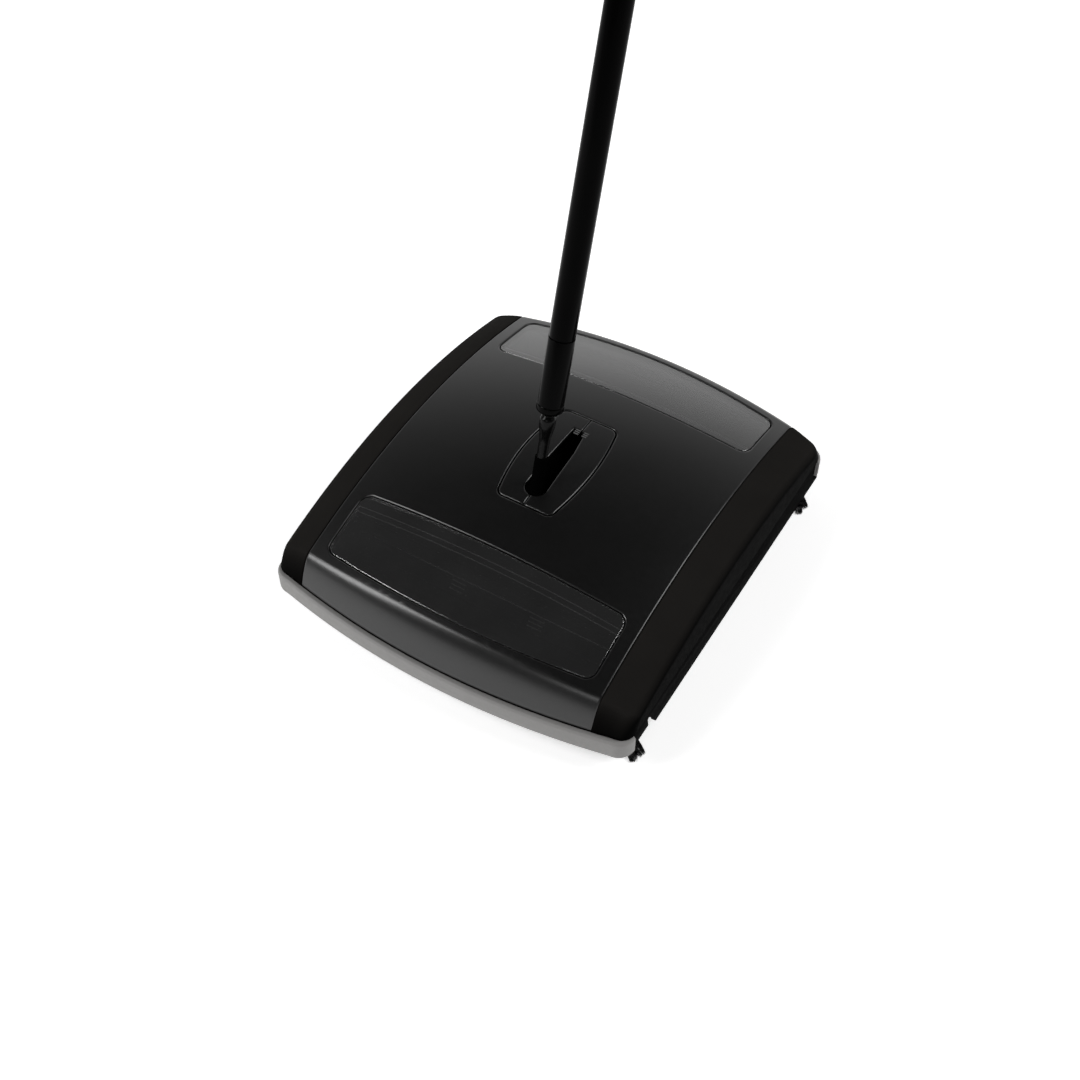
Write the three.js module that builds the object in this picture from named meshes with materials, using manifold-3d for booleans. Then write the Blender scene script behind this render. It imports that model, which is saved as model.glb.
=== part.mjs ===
// Carpet sweeper: a crowned plastic body on four wheels that drive two rubber-bladed rotors,
// a dust pan under a window at each end, and a long handle that tilts in a slot in the top.
// Millimetres, +Z up, -Y the front, +X the right side. The origin is on the floor, under the
// middle of the body.
import * as THREE from 'three';
import { mergeVertices } from 'three/addons/utils/BufferGeometryUtils.js';
import Module from 'manifold-3d';

const wasm = await Module();
wasm.setup();

const GAP = 0.3; // clearance between pieces that touch on the real object

// Body
const BODY_HALF_WIDTH = 118;
const SKIN = 2.6; // wall thickness of the cover and cheeks
const CUT_Z = [20, 90]; // height range of cutters that go through the skin
const FAR = 160; // beyond the body in any direction
const DECK_Z = 73; // top of the crowned deck
const DECK_DROP = 7.5; // fall of the deck from its middle to the seams
const DECK_CROWN = 0.00127; // fall towards the front and rear, per square millimetre
const SEAM_X = 97; // seam between the centre cover and a cheek
const CHEEK_DROP = 8;
const CHEEK_SLOPE_END = 116.5;
const CHEEK_ROLL = 5; // radius where a cheek turns down into its side
const COVER_BOTTOM = 28.4;
const FACE_BASE_Z = 29;
const FACE_SLOPE = 2.77; // rise over run of the front and rear faces
const FACE_ROLL = 13; // size of the soft roll from the deck into a face

// Plan outline of the body: a shallow arc at each end, and round corners
const END_Y = 137;
const BOW = 1 / 990; // how fast the end arc falls away from the middle
const CORNER_X = 109;
const CORNER_R = 9;
const CORNER_Y = END_Y - CORNER_X * CORNER_X * BOW - CORNER_R;

// Windows
const WINDOW_HALF_X = 88;
const WINDOW_INNER_Y = 71;
const WINDOW_MARGIN = 17; // from the body's plan outline to the window's outer edge
const WINDOW_R = 7;
const LENS_SET_DOWN = 0.3;

// Pivot plates and the handle slot
const PLATE_HALF_Y = 39.5;
const PLATE_END_X = 18;
const PLATE_MID_X = 23.3;
const PLATE_R = 5.5;
const SLOT_R = 6.4; // half its width at the round front end
const SLOT_FRONT = -30.6;
const SLOT_REAR = 27;
const SLOT_WAIST = { y: 9, x: 5 }; // where the right side starts to close in faster
const SLOT_REAR_X = { left: -4.6, right: 2.2 };
const PLATE_FLANGE = { reach: 2.5, t: 1.4 }; // catches under the edge of the cover
const PLATE_JOIN = { from: 2.5, to: 3.2 }; // depth of the layer that joins a plate to its flange

// Bumpers and end rails
const BUMPER_Y = 140;
const BUMPER_CORNER_X = 108.5;
const BUMPER_R = 10.5;
const BUMPER_T = 3.5;
const BUMPER_Z = [14.5, 28];
const RAIL_GAP = 0.4;
const RAIL_T = 3;
const RAIL_Z = [11, 27.7];
const RAIL_HALF_X = 95.6;

// Side frames
const WALL_X = [96, 98.5]; // inner wall
const WALL_HALF_Y = 112; // the part of it that reaches up under the skin
const WALL_STEP_Y = 118;
const WALL_END = { y: 126, bottom: 9, top: 27.7 };
const SKIRT_X = [115, 117.3]; // outer skirt
const SKIRT_BOTTOM = 6.5;
const SKIRT_HALF_Y = 117;
const SKIRT_FOOT = { y: 124, top: 11.4 }; // tongue under the end of the rear bumper
const SKIRT_FRONT_BOTTOM = 14.1; // the lower edge in front of the notch
const NOTCH = { from: -98.8, to: -91, top: 22 };
const FRAME_TOP = 28;
const WEB_BOTTOM = 9;
const WEB_TOP = 27.7;
const WEB_Y = [112, 115.5];
const MIDDLE_WEB = { halfY: 2.5, top: 26 };
const SHELF_Y = [101, 112.2]; // holds a corner brush
const SHELF_TOP = 12;
const BOSS = { r: 6, depth: 2.2 }; // round an axle's outer end

// Bridge that carries the handle's pivot
const BRIDGE_HALF_X = 95.6;
const BRIDGE_HALF_Y = 42;
const BRIDGE_Z = [53.2, 54.8];
const BRIDGE_T = 1.6;
const BRIDGE_FLANGE_TOP = 60;
const EAR_X = [7.5, 9.5];
const PIVOT_PIN_HALF = 11;

// Wheels, rotors and their drive
const WHEEL_R = 17.5;
const WHEEL_Y = 68;
const WHEEL_X = 106.5;
const WHEEL_HALF_W = 5;
const RIM_R = 14;
const TYRE_CHAMFER = { x: 0.8, r: 0.5 };
const HUB_RECESS = { outer: 12, inner: 10, floor: 2 };
const AXLE_R = 3;
const ROTOR_Y = 33;
const ROTOR_Z = 26;
const DISC_R = 18.2;
const DISC_RECESS = { outer: 15, inner: 13, floor: 2 };
const SHAFT_R = 4;
const SHAFT_HALF = 113.6;
const BLADE_TIP_R = 25;
const BLADE_HUB_R = 7;
const BLADE_HALF = 92.5;
const BLADES = 4;
const BLADE_TWIST = Math.PI / 3;
const BLADE_SPREAD = { root: 0.22, tip: 0.035 }; // half angle of a blade at its root and its tip
const BUSH_R = 7;
const BUSH_COLLAR = { r: 9, t: 1.6 };

// Dust pans
const PAN_HALF_X = 94;
const PAN_WALL = 2;
const PAN_THIN_WALL = 1.5;
const PAN_LIP_T = 1.2;
const PAN_HINGE = { y: 114, z: 11 };
const PAN_INNER_Y = 60;
const PAN_OUTER_Y = 118.5;
const PAN_BOTTOM = 5;
const PAN_LIP_Z = 20;
const PAN_TOP = 38;
const PAN_BARREL_R = 4.5;
const PAN_PIN_R = 1.5;
const PAN_PIN_HALF = 98.3;
const SPRING_HALF = 9;
const SPRING_R = [2.1, 2.7];
const SPRING_COILS = 5;

// Corner brushes
const BRUSH_X = 110.3;
const BRUSH_Y = 107;
const SOCKET = { r: 4.2, bore: 2.6, bottom: 5.2, flange: 8.7, stem: 3, stemHole: 3.3, floor: 12, top: 15 };
const TUFT_R = { neck: 2.3, tip: 3.6 };
const TUFT_Z = { tip: 0.3, flare: 4.3, neck: 3.5, top: 11.7 };
const BRUSH_LEAN = { x: 8.3, y: -8.5 };

// Handle: its own frame has +Z along the handle and the pivot at its origin
const PIVOT = { y: -27, z: 62 };
const LEAN = THREE.MathUtils.degToRad(15.8);
const ROD_R = 3.15;
const ROD_TOP = 84;
const KNUCKLE = { r: 3.6, from: 12, to: 30 };
const FLARE = { r: 4.6, from: 51, to: 58.5 }; // the thicker part just below the ferrule
const EYE_R = 5;
const EYE_HALF_X = 3.3;
const PIVOT_PIN_R = 2.4;
const FERRULE = { from: 61.3, to: 109, r: 7.9, bevel: 1.6, collar: 5, step: 0.35 };
const FERRULE_PLUG = { r: 6, length: 20, taper: 1.2 };
const TUBE_R = 7.35;
const TUBE_BORE = 6.35;
const TUBE_LENGTH = 310;
const NECK = { length: 24, r: 6, bore: 5, run: 3 }; // the reduced end that plugs into the next tube
const GRIP = { from: 125, to: 6, r: 11.6, lower: 10.5, upper: 9 }; // distances from the top tube's end
const CAP = { plug: 6, plugLength: 22, r: 8.5, rim: 3, halfT: 3.5, tab: 8.2, hole: 4 };
const HANDLE_LENGTH = 1056; // from the pivot to the end of the hang cap

const mix = (a, b, t) => a + (b - a) * t;
const ordered = (a, b) => (a < b ? [a, b] : [b, a]);

// ---- Turning three.js geometry into solids and back ----

function solid(geometry) {
  const bare = geometry.index ? geometry.toNonIndexed() : geometry.clone();
  bare.deleteAttribute('normal');
  bare.deleteAttribute('uv');
  const merged = mergeVertices(bare, 1e-4);
  return new wasm.Manifold(
    new wasm.Mesh({
      numProp: 3,
      vertProperties: new Float32Array(merged.attributes.position.array),
      triVerts: new Uint32Array(merged.index.array),
    }),
  );
}

function geometryOf(made) {
  const mesh = made.getMesh();
  const geometry = new THREE.BufferGeometry();
  geometry.setAttribute('position', new THREE.BufferAttribute(mesh.vertProperties, 3));
  geometry.setIndex(new THREE.BufferAttribute(mesh.triVerts, 1));
  geometry.computeVertexNormals();
  return geometry;
}

const joined = (first, ...rest) => rest.reduce((all, one) => all.add(one), first);
const cut = (first, ...rest) => rest.reduce((left, one) => left.subtract(one), first);

// ---- Extrusions and turned shapes ----

const outline = (points) => new THREE.Shape(points.map(([x, y]) => new THREE.Vector2(x, y)));

function alongZ(shape, z0, z1, curveSegments = 4) {
  const geometry = new THREE.ExtrudeGeometry(shape, {
    depth: z1 - z0,
    bevelEnabled: false,
    curveSegments,
  });
  return geometry.translate(0, 0, z0);
}

const YZ_PLANE = new THREE.Matrix4().makeBasis(
  new THREE.Vector3(0, 1, 0),
  new THREE.Vector3(0, 0, 1),
  new THREE.Vector3(1, 0, 0),
);

// Extrudes an outline of (y, z) points along X.
function alongX(shape, x0, x1, steps = 1, curveSegments = 4) {
  const geometry = new THREE.ExtrudeGeometry(shape, {
    depth: x1 - x0,
    bevelEnabled: false,
    steps,
    curveSegments,
  });
  return geometry.applyMatrix4(YZ_PLANE).translate(x0, 0, 0);
}

function rodX(r, x0, x1, y, z, sides = 16) {
  const geometry = new THREE.CylinderGeometry(r, r, x1 - x0, sides);
  return geometry.rotateZ(-Math.PI / 2).translate((x0 + x1) / 2, y, z);
}

function rodZ(r, z0, z1, x = 0, y = 0, sides = 16) {
  const geometry = new THREE.CylinderGeometry(r, r, z1 - z0, sides);
  return geometry.rotateX(Math.PI / 2).translate(x, y, (z0 + z1) / 2);
}

function block([x0, x1], [y0, y1], [z0, z1]) {
  const geometry = new THREE.BoxGeometry(x1 - x0, y1 - y0, z1 - z0);
  return solid(geometry.translate((x0 + x1) / 2, (y0 + y1) / 2, (z0 + z1) / 2));
}

// A turned ring: [radius, height] points, up the outside and back down the bore.
function turned(points, sides) {
  const closed = [...points, points[0]].map(([r, h]) => new THREE.Vector2(r, h));
  return new THREE.LatheGeometry(closed, sides);
}

const turnedX = (points, sides) => turned(points, sides).rotateZ(-Math.PI / 2);
const turnedZ = (points, sides) => turned(points, sides).rotateX(Math.PI / 2);

// ---- The body's skin ----

// Distance from the middle of the body to its front or rear outline, at a given x.
function halfDepth(x) {
  const a = Math.abs(x);
  if (a <= CORNER_X) return END_Y - a * a * BOW;
  const run = Math.min(a - CORNER_X, CORNER_R);
  return CORNER_Y + Math.sqrt(CORNER_R ** 2 - run ** 2);
}

function cheekDrop(x) {
  const a = Math.abs(x);
  if (a <= SEAM_X) return 0;
  const slope = CHEEK_DROP * ((a - SEAM_X) / (CHEEK_SLOPE_END - SEAM_X)) ** 1.4;
  const run = Math.max(0, a - (BODY_HALF_WIDTH - CHEEK_ROLL));
  return slope + CHEEK_ROLL - Math.sqrt(Math.max(0, CHEEK_ROLL ** 2 - run ** 2));
}

function softMin(a, b, size) {
  const near = Math.max(size - Math.abs(a - b), 0) / size;
  return Math.min(a, b) - (near * near * size) / 4;
}

// Height of the outer surface of the cover or cheek.
function skinHeight(x, y) {
  const across = Math.min(Math.abs(x), SEAM_X) / SEAM_X;
  const deck = DECK_Z - DECK_DROP * across ** 2 - DECK_CROWN * y * y - cheekDrop(x);
  const face = FACE_BASE_Z + FACE_SLOPE * (halfDepth(x) - Math.abs(y));
  return softMin(deck, face, FACE_ROLL);
}

// Height of the surface that lies `inset` inside the skin.
function liningHeight(x, y, inset) {
  const outerX = (x * BODY_HALF_WIDTH) / (BODY_HALF_WIDTH - inset);
  const depth = halfDepth(outerX);
  return skinHeight(outerX, (y * depth) / (depth - inset)) - inset;
}

const mirrored = (half) => [...half.map((v) => -v).reverse(), ...half.slice(1)];
const STATIONS = mirrored([0, 25, 50, 75, SEAM_X, 103, 109, 112.5, 115, 116.8, 117.7, BODY_HALF_WIDTH]);
const EDGE_DISTANCES = [130, 104, 78, 55, 34, 17, 11.5, 8.4, 6.4, 4.6, 2.4, 0];
const ROWS = mirrored(EDGE_DISTANCES.map((e) => 1 - e / 130));

// A block under the surface that lies `inset` inside the skin, down to `bottom`.
function skinBlock(inset, bottom) {
  const columns = STATIONS.length - 1;
  const rows = ROWS.length - 1;
  const geometry = new THREE.BoxGeometry(columns, rows, 2, columns, rows, 1);
  const at = geometry.attributes.position;
  for (let i = 0; i < at.count; i++) {
    const x = STATIONS[Math.round(at.getX(i) + columns / 2)];
    const v = ROWS[Math.round(at.getY(i) + rows / 2)];
    const depth = halfDepth(x);
    const z = at.getZ(i) > 0 ? skinHeight(x, v * depth) - inset : bottom;
    at.setXYZ(i, (x * (BODY_HALF_WIDTH - inset)) / BODY_HALF_WIDTH, v * (depth - inset), z);
  }
  return solid(geometry);
}

const layer = (outer, inner) => cut(skinBlock(outer, 24), skinBlock(inner, 20));
const shell = cut(skinBlock(0, COVER_BOTTOM), skinBlock(SKIN, 20));

function windowOutline(grow) {
  const x = WINDOW_HALF_X + grow;
  const inner = WINDOW_INNER_Y - grow;
  const r = WINDOW_R + grow;
  const outerY = (at) => halfDepth(at) - WINDOW_MARGIN + grow;
  const points = [];
  for (let i = 0; i <= 3; i++) {
    const turn = (i / 3) * (Math.PI / 2);
    points.push([x - r + r * Math.sin(turn), inner + r - r * Math.cos(turn)]);
  }
  for (let i = 0; i <= 3; i++) {
    const turn = (i / 3) * (Math.PI / 2);
    points.push([x - r + r * Math.cos(turn), outerY(x - r) - r + r * Math.sin(turn)]);
  }
  for (let i = 1; i < 4; i++) {
    const at = mix(x - r, 0, i / 4);
    points.push([at, outerY(at)]);
  }
  const left = points.slice().reverse().map(([px, py]) => [-px, py]);
  return outline([...points, [0, outerY(0)], ...left]);
}

function plateOutline(grow) {
  const y = PLATE_HALF_Y + grow;
  const r = PLATE_R + grow;
  const sideX = (at) => mix(PLATE_MID_X, PLATE_END_X, (at / PLATE_HALF_Y) ** 2) + grow;
  const points = [];
  for (let i = 0; i <= 4; i++) {
    const at = mix(0, y - r, i / 4);
    points.push([sideX(at), at]);
  }
  for (let i = 1; i <= 3; i++) {
    const turn = (i / 3) * (Math.PI / 2);
    points.push([sideX(y - r) - r + r * Math.cos(turn), y - r + r * Math.sin(turn)]);
  }
  const left = points.slice().reverse().map(([px, py]) => [-px, py]);
  const rear = [...points, ...left];
  const front = rear.slice(1, -1).map(([px, py]) => [-px, -py]);
  return outline([...rear, ...front]);
}

const windowCutter = (grow) => solid(alongZ(windowOutline(grow), ...CUT_Z));
const plateCutter = (grow) => solid(alongZ(plateOutline(grow), ...CUT_Z));

function centerCover() {
  const half = SEAM_X - GAP / 2;
  const between = block([-half, half], [-FAR, FAR], CUT_Z);
  const opening = windowCutter(0);
  return cut(shell.intersect(between), opening, opening.rotate([0, 0, 180]), plateCutter(0));
}

// The right cheek, and the rear window's lens. Turned half round they are the left and the front.
const cheek = () => shell.intersect(block([SEAM_X + GAP / 2, FAR], [-FAR, FAR], CUT_Z));
const windowLens = () => layer(LENS_SET_DOWN, SKIN).intersect(windowCutter(-GAP - 0.05));

function slotOutline() {
  const slot = new THREE.Shape();
  slot.moveTo(-SLOT_R, SLOT_FRONT + SLOT_R);
  slot.absarc(0, SLOT_FRONT + SLOT_R, SLOT_R, Math.PI, 2 * Math.PI);
  slot.lineTo(SLOT_WAIST.x, SLOT_WAIST.y);
  slot.lineTo(SLOT_REAR_X.right, SLOT_REAR);
  slot.lineTo(SLOT_REAR_X.left, SLOT_REAR);
  return slot;
}

function pivotPlate(side) {
  const top = layer(0, SKIN).intersect(plateCutter(-GAP));
  const underside = SKIN + GAP;
  const flange = layer(underside, underside + PLATE_FLANGE.t).intersect(plateCutter(PLATE_FLANGE.reach));
  const join = layer(PLATE_JOIN.from, PLATE_JOIN.to).intersect(plateCutter(-1));
  const half = block(ordered((GAP / 2) * side, FAR * side), [-FAR, FAR], CUT_Z);
  return cut(joined(top, flange, join), solid(alongZ(slotOutline(), ...CUT_Z))).intersect(half);
}

// ---- Bumpers and end rails ----

// Points of the bumper's plan outline moved `inset` inwards, from right to left.
function bumperLine(inset) {
  const r = BUMPER_R - inset;
  const centreY = BUMPER_Y - BUMPER_CORNER_X ** 2 * BOW - BUMPER_R;
  const points = [];
  for (let i = 0; i <= 5; i++) {
    const turn = (i / 5) * (Math.PI / 2);
    points.push([BUMPER_CORNER_X + r * Math.cos(turn), centreY + r * Math.sin(turn)]);
  }
  for (let i = 1; i <= 6; i++) {
    const x = mix(BUMPER_CORNER_X, 0, i / 6);
    points.push([x, BUMPER_Y - inset - x * x * BOW]);
  }
  const left = points.slice(0, -1).reverse().map(([x, y]) => [-x, y]);
  return [...points, ...left];
}

function bumper() {
  const ring = [...bumperLine(0), ...bumperLine(BUMPER_T).reverse()];
  return solid(alongZ(outline(ring), ...BUMPER_Z));
}

function endRail() {
  const arc = (inset) => {
    const points = [];
    for (let i = 0; i <= 8; i++) {
      const x = mix(RAIL_HALF_X, -RAIL_HALF_X, i / 8);
      points.push([x, BUMPER_Y - inset - x * x * BOW]);
    }
    return points;
  };
  const outer = BUMPER_T + RAIL_GAP;
  return solid(alongZ(outline([...arc(outer), ...arc(outer + RAIL_T).reverse()]), ...RAIL_Z));
}

// ---- Side frames ----

function innerWall() {
  const top = [];
  for (let i = 0; i <= 10; i++) {
    const y = mix(WALL_HALF_Y, -WALL_HALF_Y, i / 10);
    top.push([y, liningHeight(WALL_X[1], y, SKIN) - 0.5]);
  }
  const { y, bottom, top: step } = WALL_END;
  const rear = [[y, bottom], [y, step], [WALL_STEP_Y, step]];
  const front = rear.slice().reverse().map(([at, z]) => [-at, z]);
  return solid(alongX(outline([...rear, ...top, ...front]), ...WALL_X));
}

// The outer skirt: straight below, with a notch and a shorter end in front, and a foot behind.
function skirt() {
  const points = [
    [-SKIRT_HALF_Y, FRAME_TOP],
    [-SKIRT_HALF_Y, SKIRT_FRONT_BOTTOM],
    [NOTCH.from, SKIRT_FRONT_BOTTOM],
    [NOTCH.from - 1.5, NOTCH.top - 1],
    [NOTCH.from, NOTCH.top],
    [NOTCH.to - 2, SKIRT_FRONT_BOTTOM],
    [NOTCH.to, SKIRT_BOTTOM + 2],
    [NOTCH.to + 1.5, SKIRT_BOTTOM],
    [SKIRT_FOOT.y, SKIRT_BOTTOM],
    [SKIRT_FOOT.y, SKIRT_FOOT.top],
    [SKIRT_HALF_Y, SKIRT_FOOT.top],
    [SKIRT_HALF_Y, FRAME_TOP],
  ];
  return solid(alongX(outline(points), ...SKIRT_X));
}

// The right frame. The left one is its mirror image.
function rightFrame() {
  const between = [WALL_X[1] - 0.2, SKIRT_X[0] + 0.2];
  const web = (y, top) => block(between, y, [WEB_BOTTOM, top]);
  const through = (r, y, z, sides) => solid(rodX(r, WALL_X[0] - 1, WALL_X[1] + 1, y, z, sides));
  const middle = web([-MIDDLE_WEB.halfY, MIDDLE_WEB.halfY], MIDDLE_WEB.top);
  let frame = joined(innerWall(), skirt(), middle);
  for (const side of [-1, 1]) {
    const atEnd = ([y0, y1]) => ordered(y0 * side, y1 * side);
    const boss = rodX(BOSS.r, SKIRT_X[0] - BOSS.depth, SKIRT_X[0] + 0.2, WHEEL_Y * side, WHEEL_R, 12);
    frame = joined(frame, web(atEnd(WEB_Y), WEB_TOP), web(atEnd(SHELF_Y), SHELF_TOP), solid(boss));
    frame = cut(
      frame,
      solid(rodX(AXLE_R + GAP, WALL_X[0] - 1, SKIRT_X[0], WHEEL_Y * side, WHEEL_R)),
      through(BUSH_R + GAP, ROTOR_Y * side, ROTOR_Z, 16),
      through(PAN_PIN_R + GAP, PAN_HINGE.y * side, PAN_HINGE.z, 8),
      solid(rodZ(SOCKET.stemHole, 0, SHELF_TOP + 2, BRUSH_X, BRUSH_Y * side, 10)),
    );
  }
  return frame;
}

// ---- Bridge and pivot pin ----

function centerBridge() {
  const deep = [-BRIDGE_HALF_Y, BRIDGE_HALF_Y];
  const parts = [block([-BRIDGE_HALF_X, BRIDGE_HALF_X], deep, BRIDGE_Z)];
  for (const side of [-1, 1]) {
    const flange = ordered(BRIDGE_HALF_X * side, (BRIDGE_HALF_X - BRIDGE_T) * side);
    parts.push(block(flange, deep, [BRIDGE_Z[0], BRIDGE_FLANGE_TOP]));
    const ear = ordered(EAR_X[0] * side, EAR_X[1] * side);
    parts.push(block(ear, [PIVOT.y - EYE_R, PIVOT.y + EYE_R], [BRIDGE_Z[1] - 0.8, PIVOT.z]));
    parts.push(solid(rodX(EYE_R, ...ear, PIVOT.y, PIVOT.z)));
  }
  const bore = rodX(PIVOT_PIN_R + GAP, -2 * EAR_X[1], 2 * EAR_X[1], PIVOT.y, PIVOT.z);
  return cut(joined(...parts), solid(bore));
}

// ---- Dust pan: the rear one. Turned half round about Z it is the front one. ----

function dustPan() {
  const { y, z } = PAN_HINGE;
  const floor = PAN_BOTTOM + PAN_WALL;
  const trough = outline([
    [PAN_INNER_Y, PAN_BOTTOM],
    [PAN_OUTER_Y, PAN_BOTTOM],
    [PAN_OUTER_Y, PAN_TOP],
    [PAN_OUTER_Y - PAN_THIN_WALL, PAN_TOP],
    [PAN_OUTER_Y - PAN_THIN_WALL, floor],
    [PAN_INNER_Y + PAN_WALL, floor],
    [PAN_INNER_Y + PAN_LIP_T, PAN_LIP_Z],
    [PAN_INNER_Y, PAN_LIP_Z],
  ]);
  const end = outline([
    [PAN_INNER_Y, PAN_BOTTOM],
    [PAN_OUTER_Y, PAN_BOTTOM],
    [PAN_OUTER_Y, PAN_TOP],
    [PAN_INNER_Y + 14, PAN_TOP],
    [PAN_INNER_Y, PAN_LIP_Z],
  ]);
  const inner = PAN_HALF_X - PAN_WALL;
  const long = PAN_HALF_X - 0.5;
  const barrelFrom = SPRING_HALF + 1;
  const pan = joined(
    solid(alongX(trough, -long, long)),
    solid(alongX(end, -PAN_HALF_X, -inner)),
    solid(alongX(end, inner, PAN_HALF_X)),
    solid(rodX(PAN_BARREL_R, -long, -barrelFrom, y, z, 12)),
    solid(rodX(PAN_BARREL_R, barrelFrom, long, y, z, 12)),
  );
  return cut(pan, solid(rodX(PAN_PIN_R + GAP, -FAR, FAR, y, z, 12)));
}

function panSpring() {
  const [inner, outer] = SPRING_R;
  const bore = PAN_PIN_R + 0.25;
  const pitch = (2 * SPRING_HALF) / SPRING_COILS;
  const points = [];
  for (let i = 0; i < SPRING_COILS; i++) {
    const from = i * pitch - SPRING_HALF;
    points.push([inner, from], [outer, from + pitch / 2]);
  }
  points.push([inner, SPRING_HALF], [bore, SPRING_HALF], [bore, -SPRING_HALF]);
  return turnedX(points, 8);
}

// ---- Rotors ----

// A rubber hub with blades, twisted evenly along the shaft.
function rotorBlades() {
  const points = [];
  const { root, tip } = BLADE_SPREAD;
  for (let i = 0; i < BLADES; i++) {
    const turn = (i / BLADES) * 2 * Math.PI;
    const polar = (r, angle) => [r * Math.cos(turn + angle), r * Math.sin(turn + angle)];
    points.push(polar(BLADE_HUB_R, -root), polar(BLADE_TIP_R, -tip));
    points.push(polar(BLADE_TIP_R, tip), polar(BLADE_HUB_R, root));
    points.push(polar(BLADE_HUB_R, Math.PI / BLADES));
  }
  const shape = outline(points);
  shape.holes.push(new THREE.Path().absarc(0, 0, SHAFT_R + GAP, 0, 2 * Math.PI, true));
  const geometry = alongX(shape, -BLADE_HALF, BLADE_HALF, 6, 7);
  const at = geometry.attributes.position;
  for (let i = 0; i < at.count; i++) {
    const twist = (BLADE_TWIST * at.getX(i)) / (2 * BLADE_HALF);
    const c = Math.cos(twist);
    const s = Math.sin(twist);
    at.setXYZ(i, at.getX(i), c * at.getY(i) - s * at.getZ(i), s * at.getY(i) + c * at.getZ(i));
  }
  return geometry;
}

function driveDisc() {
  const w = WHEEL_HALF_W;
  const bore = SHAFT_R + GAP;
  const { outer, inner, floor } = DISC_RECESS;
  return turnedX([[bore, -w], [DISC_R, -w], [DISC_R, w], [outer, w], [inner, floor], [bore, floor]], 20);
}

function rotorBush() {
  const [w0, w1] = WALL_X;
  const bore = SHAFT_R + GAP;
  const { r, t } = BUSH_COLLAR;
  const profile = [
    [bore, w0 - 1],
    [BUSH_R, w0 - 1],
    [BUSH_R, w1],
    [r, w1 + 0.4],
    [r, w1 + t],
    [bore, w1 + t],
  ];
  return turnedX(profile, 12);
}

// ---- Wheels ----

function tyre() {
  const w = WHEEL_HALF_W;
  const inner = RIM_R + GAP;
  const { x, r } = TYRE_CHAMFER;
  const shoulder = WHEEL_R - r;
  const profile = [
    [inner, -w],
    [shoulder, -w],
    [WHEEL_R, -w + x],
    [WHEEL_R, w - x],
    [shoulder, w],
    [inner, w],
  ];
  return turnedX(profile, 20);
}

function wheelHub() {
  const w = WHEEL_HALF_W + GAP;
  const bore = AXLE_R + GAP;
  const { outer, inner, floor } = HUB_RECESS;
  return turnedX([[bore, -w], [RIM_R, -w], [RIM_R, w], [outer, w], [inner, floor], [bore, floor]], 18);
}

// ---- Corner brushes ----

function brushHolder() {
  const { r, bore, bottom, flange, stem, floor, top } = SOCKET;
  const profile = [
    [bore, bottom],
    [r, bottom],
    [r, flange],
    [stem, flange],
    [stem, top],
    [0, top],
    [0, floor],
    [bore, floor],
  ];
  return turnedZ(profile, 8);
}

// The tuft's neck stands in its holder, and its free end splays outwards and to the front.
function brushTuft(side, end) {
  const x = BRUSH_X * side;
  const y = BRUSH_Y * end;
  const neck = rodZ(TUFT_R.neck, TUFT_Z.neck, TUFT_Z.top, x, y, 10);
  const height = TUFT_Z.flare - TUFT_Z.tip;
  const flare = new THREE.CylinderGeometry(TUFT_R.neck, TUFT_R.tip, height, 10).rotateX(Math.PI / 2);
  const at = flare.attributes.position;
  for (let i = 0; i < at.count; i++) {
    const down = at.getZ(i) < 0 ? 1 : 0;
    at.setXY(i, at.getX(i) + BRUSH_LEAN.x * side * down, at.getY(i) + BRUSH_LEAN.y * down);
  }
  return joined(solid(neck), solid(flare.translate(x, y, TUFT_Z.tip + height / 2)));
}

// ---- Handle, in its own frame ----

function handleRod() {
  const eye = solid(rodX(EYE_R, -EYE_HALF_X, EYE_HALF_X, 0, 0));
  const stem = solid(rodZ(ROD_R, EYE_HALF_X, ROD_TOP, 0, 0, 12));
  const knuckle = solid(rodZ(KNUCKLE.r, KNUCKLE.from, KNUCKLE.to, 0, 0, 12));
  const flare = solid(rodZ(FLARE.r, FLARE.from, FLARE.to, 0, 0, 12));
  return cut(joined(eye, stem, knuckle, flare), solid(rodX(PIVOT_PIN_R + GAP, -EYE_R, EYE_R, 0, 0)));
}

function ferrule() {
  const { from, to, r, bevel, collar, step } = FERRULE;
  const plug = FERRULE_PLUG;
  const plugEnd = to + plug.length + 2;
  const bore = ROD_R + GAP;
  const profile = [
    [bore, from],
    [r - bevel, from],
    [r, from + bevel],
    [r, from + collar],
    [r - step, from + collar + 1],
    [r - step, to],
    [plug.r, to],
    [plug.r, to + plug.length],
    [plug.r - plug.taper, plugEnd],
    [bore, plugEnd],
  ];
  return turnedZ(profile, 18);
}

// One tube section; all but the top one have a neck that plugs into the next.
function tube(from, hasNeck) {
  const to = from + TUBE_LENGTH - GAP;
  const neckTop = to + NECK.length;
  const neck = [
    [TUBE_R, to],
    [NECK.r, to],
    [NECK.r, neckTop],
    [NECK.bore, neckTop],
    [NECK.bore, to - NECK.run],
    [TUBE_BORE, to - NECK.run - 2],
  ];
  const plain = [[TUBE_R, to], [TUBE_BORE, to]];
  return turnedZ([[TUBE_BORE, from], [TUBE_R, from], ...(hasNeck ? neck : plain)], 18);
}

function handGrip(tubeEnd) {
  const bore = TUBE_R + GAP;
  const { r, lower, upper } = GRIP;
  const from = tubeEnd - GRIP.from;
  const to = tubeEnd - GRIP.to;
  return turnedZ([[bore, from], [lower, from], [r, from + 3], [r, to - 4], [upper, to], [bore, to]], 18);
}

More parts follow.
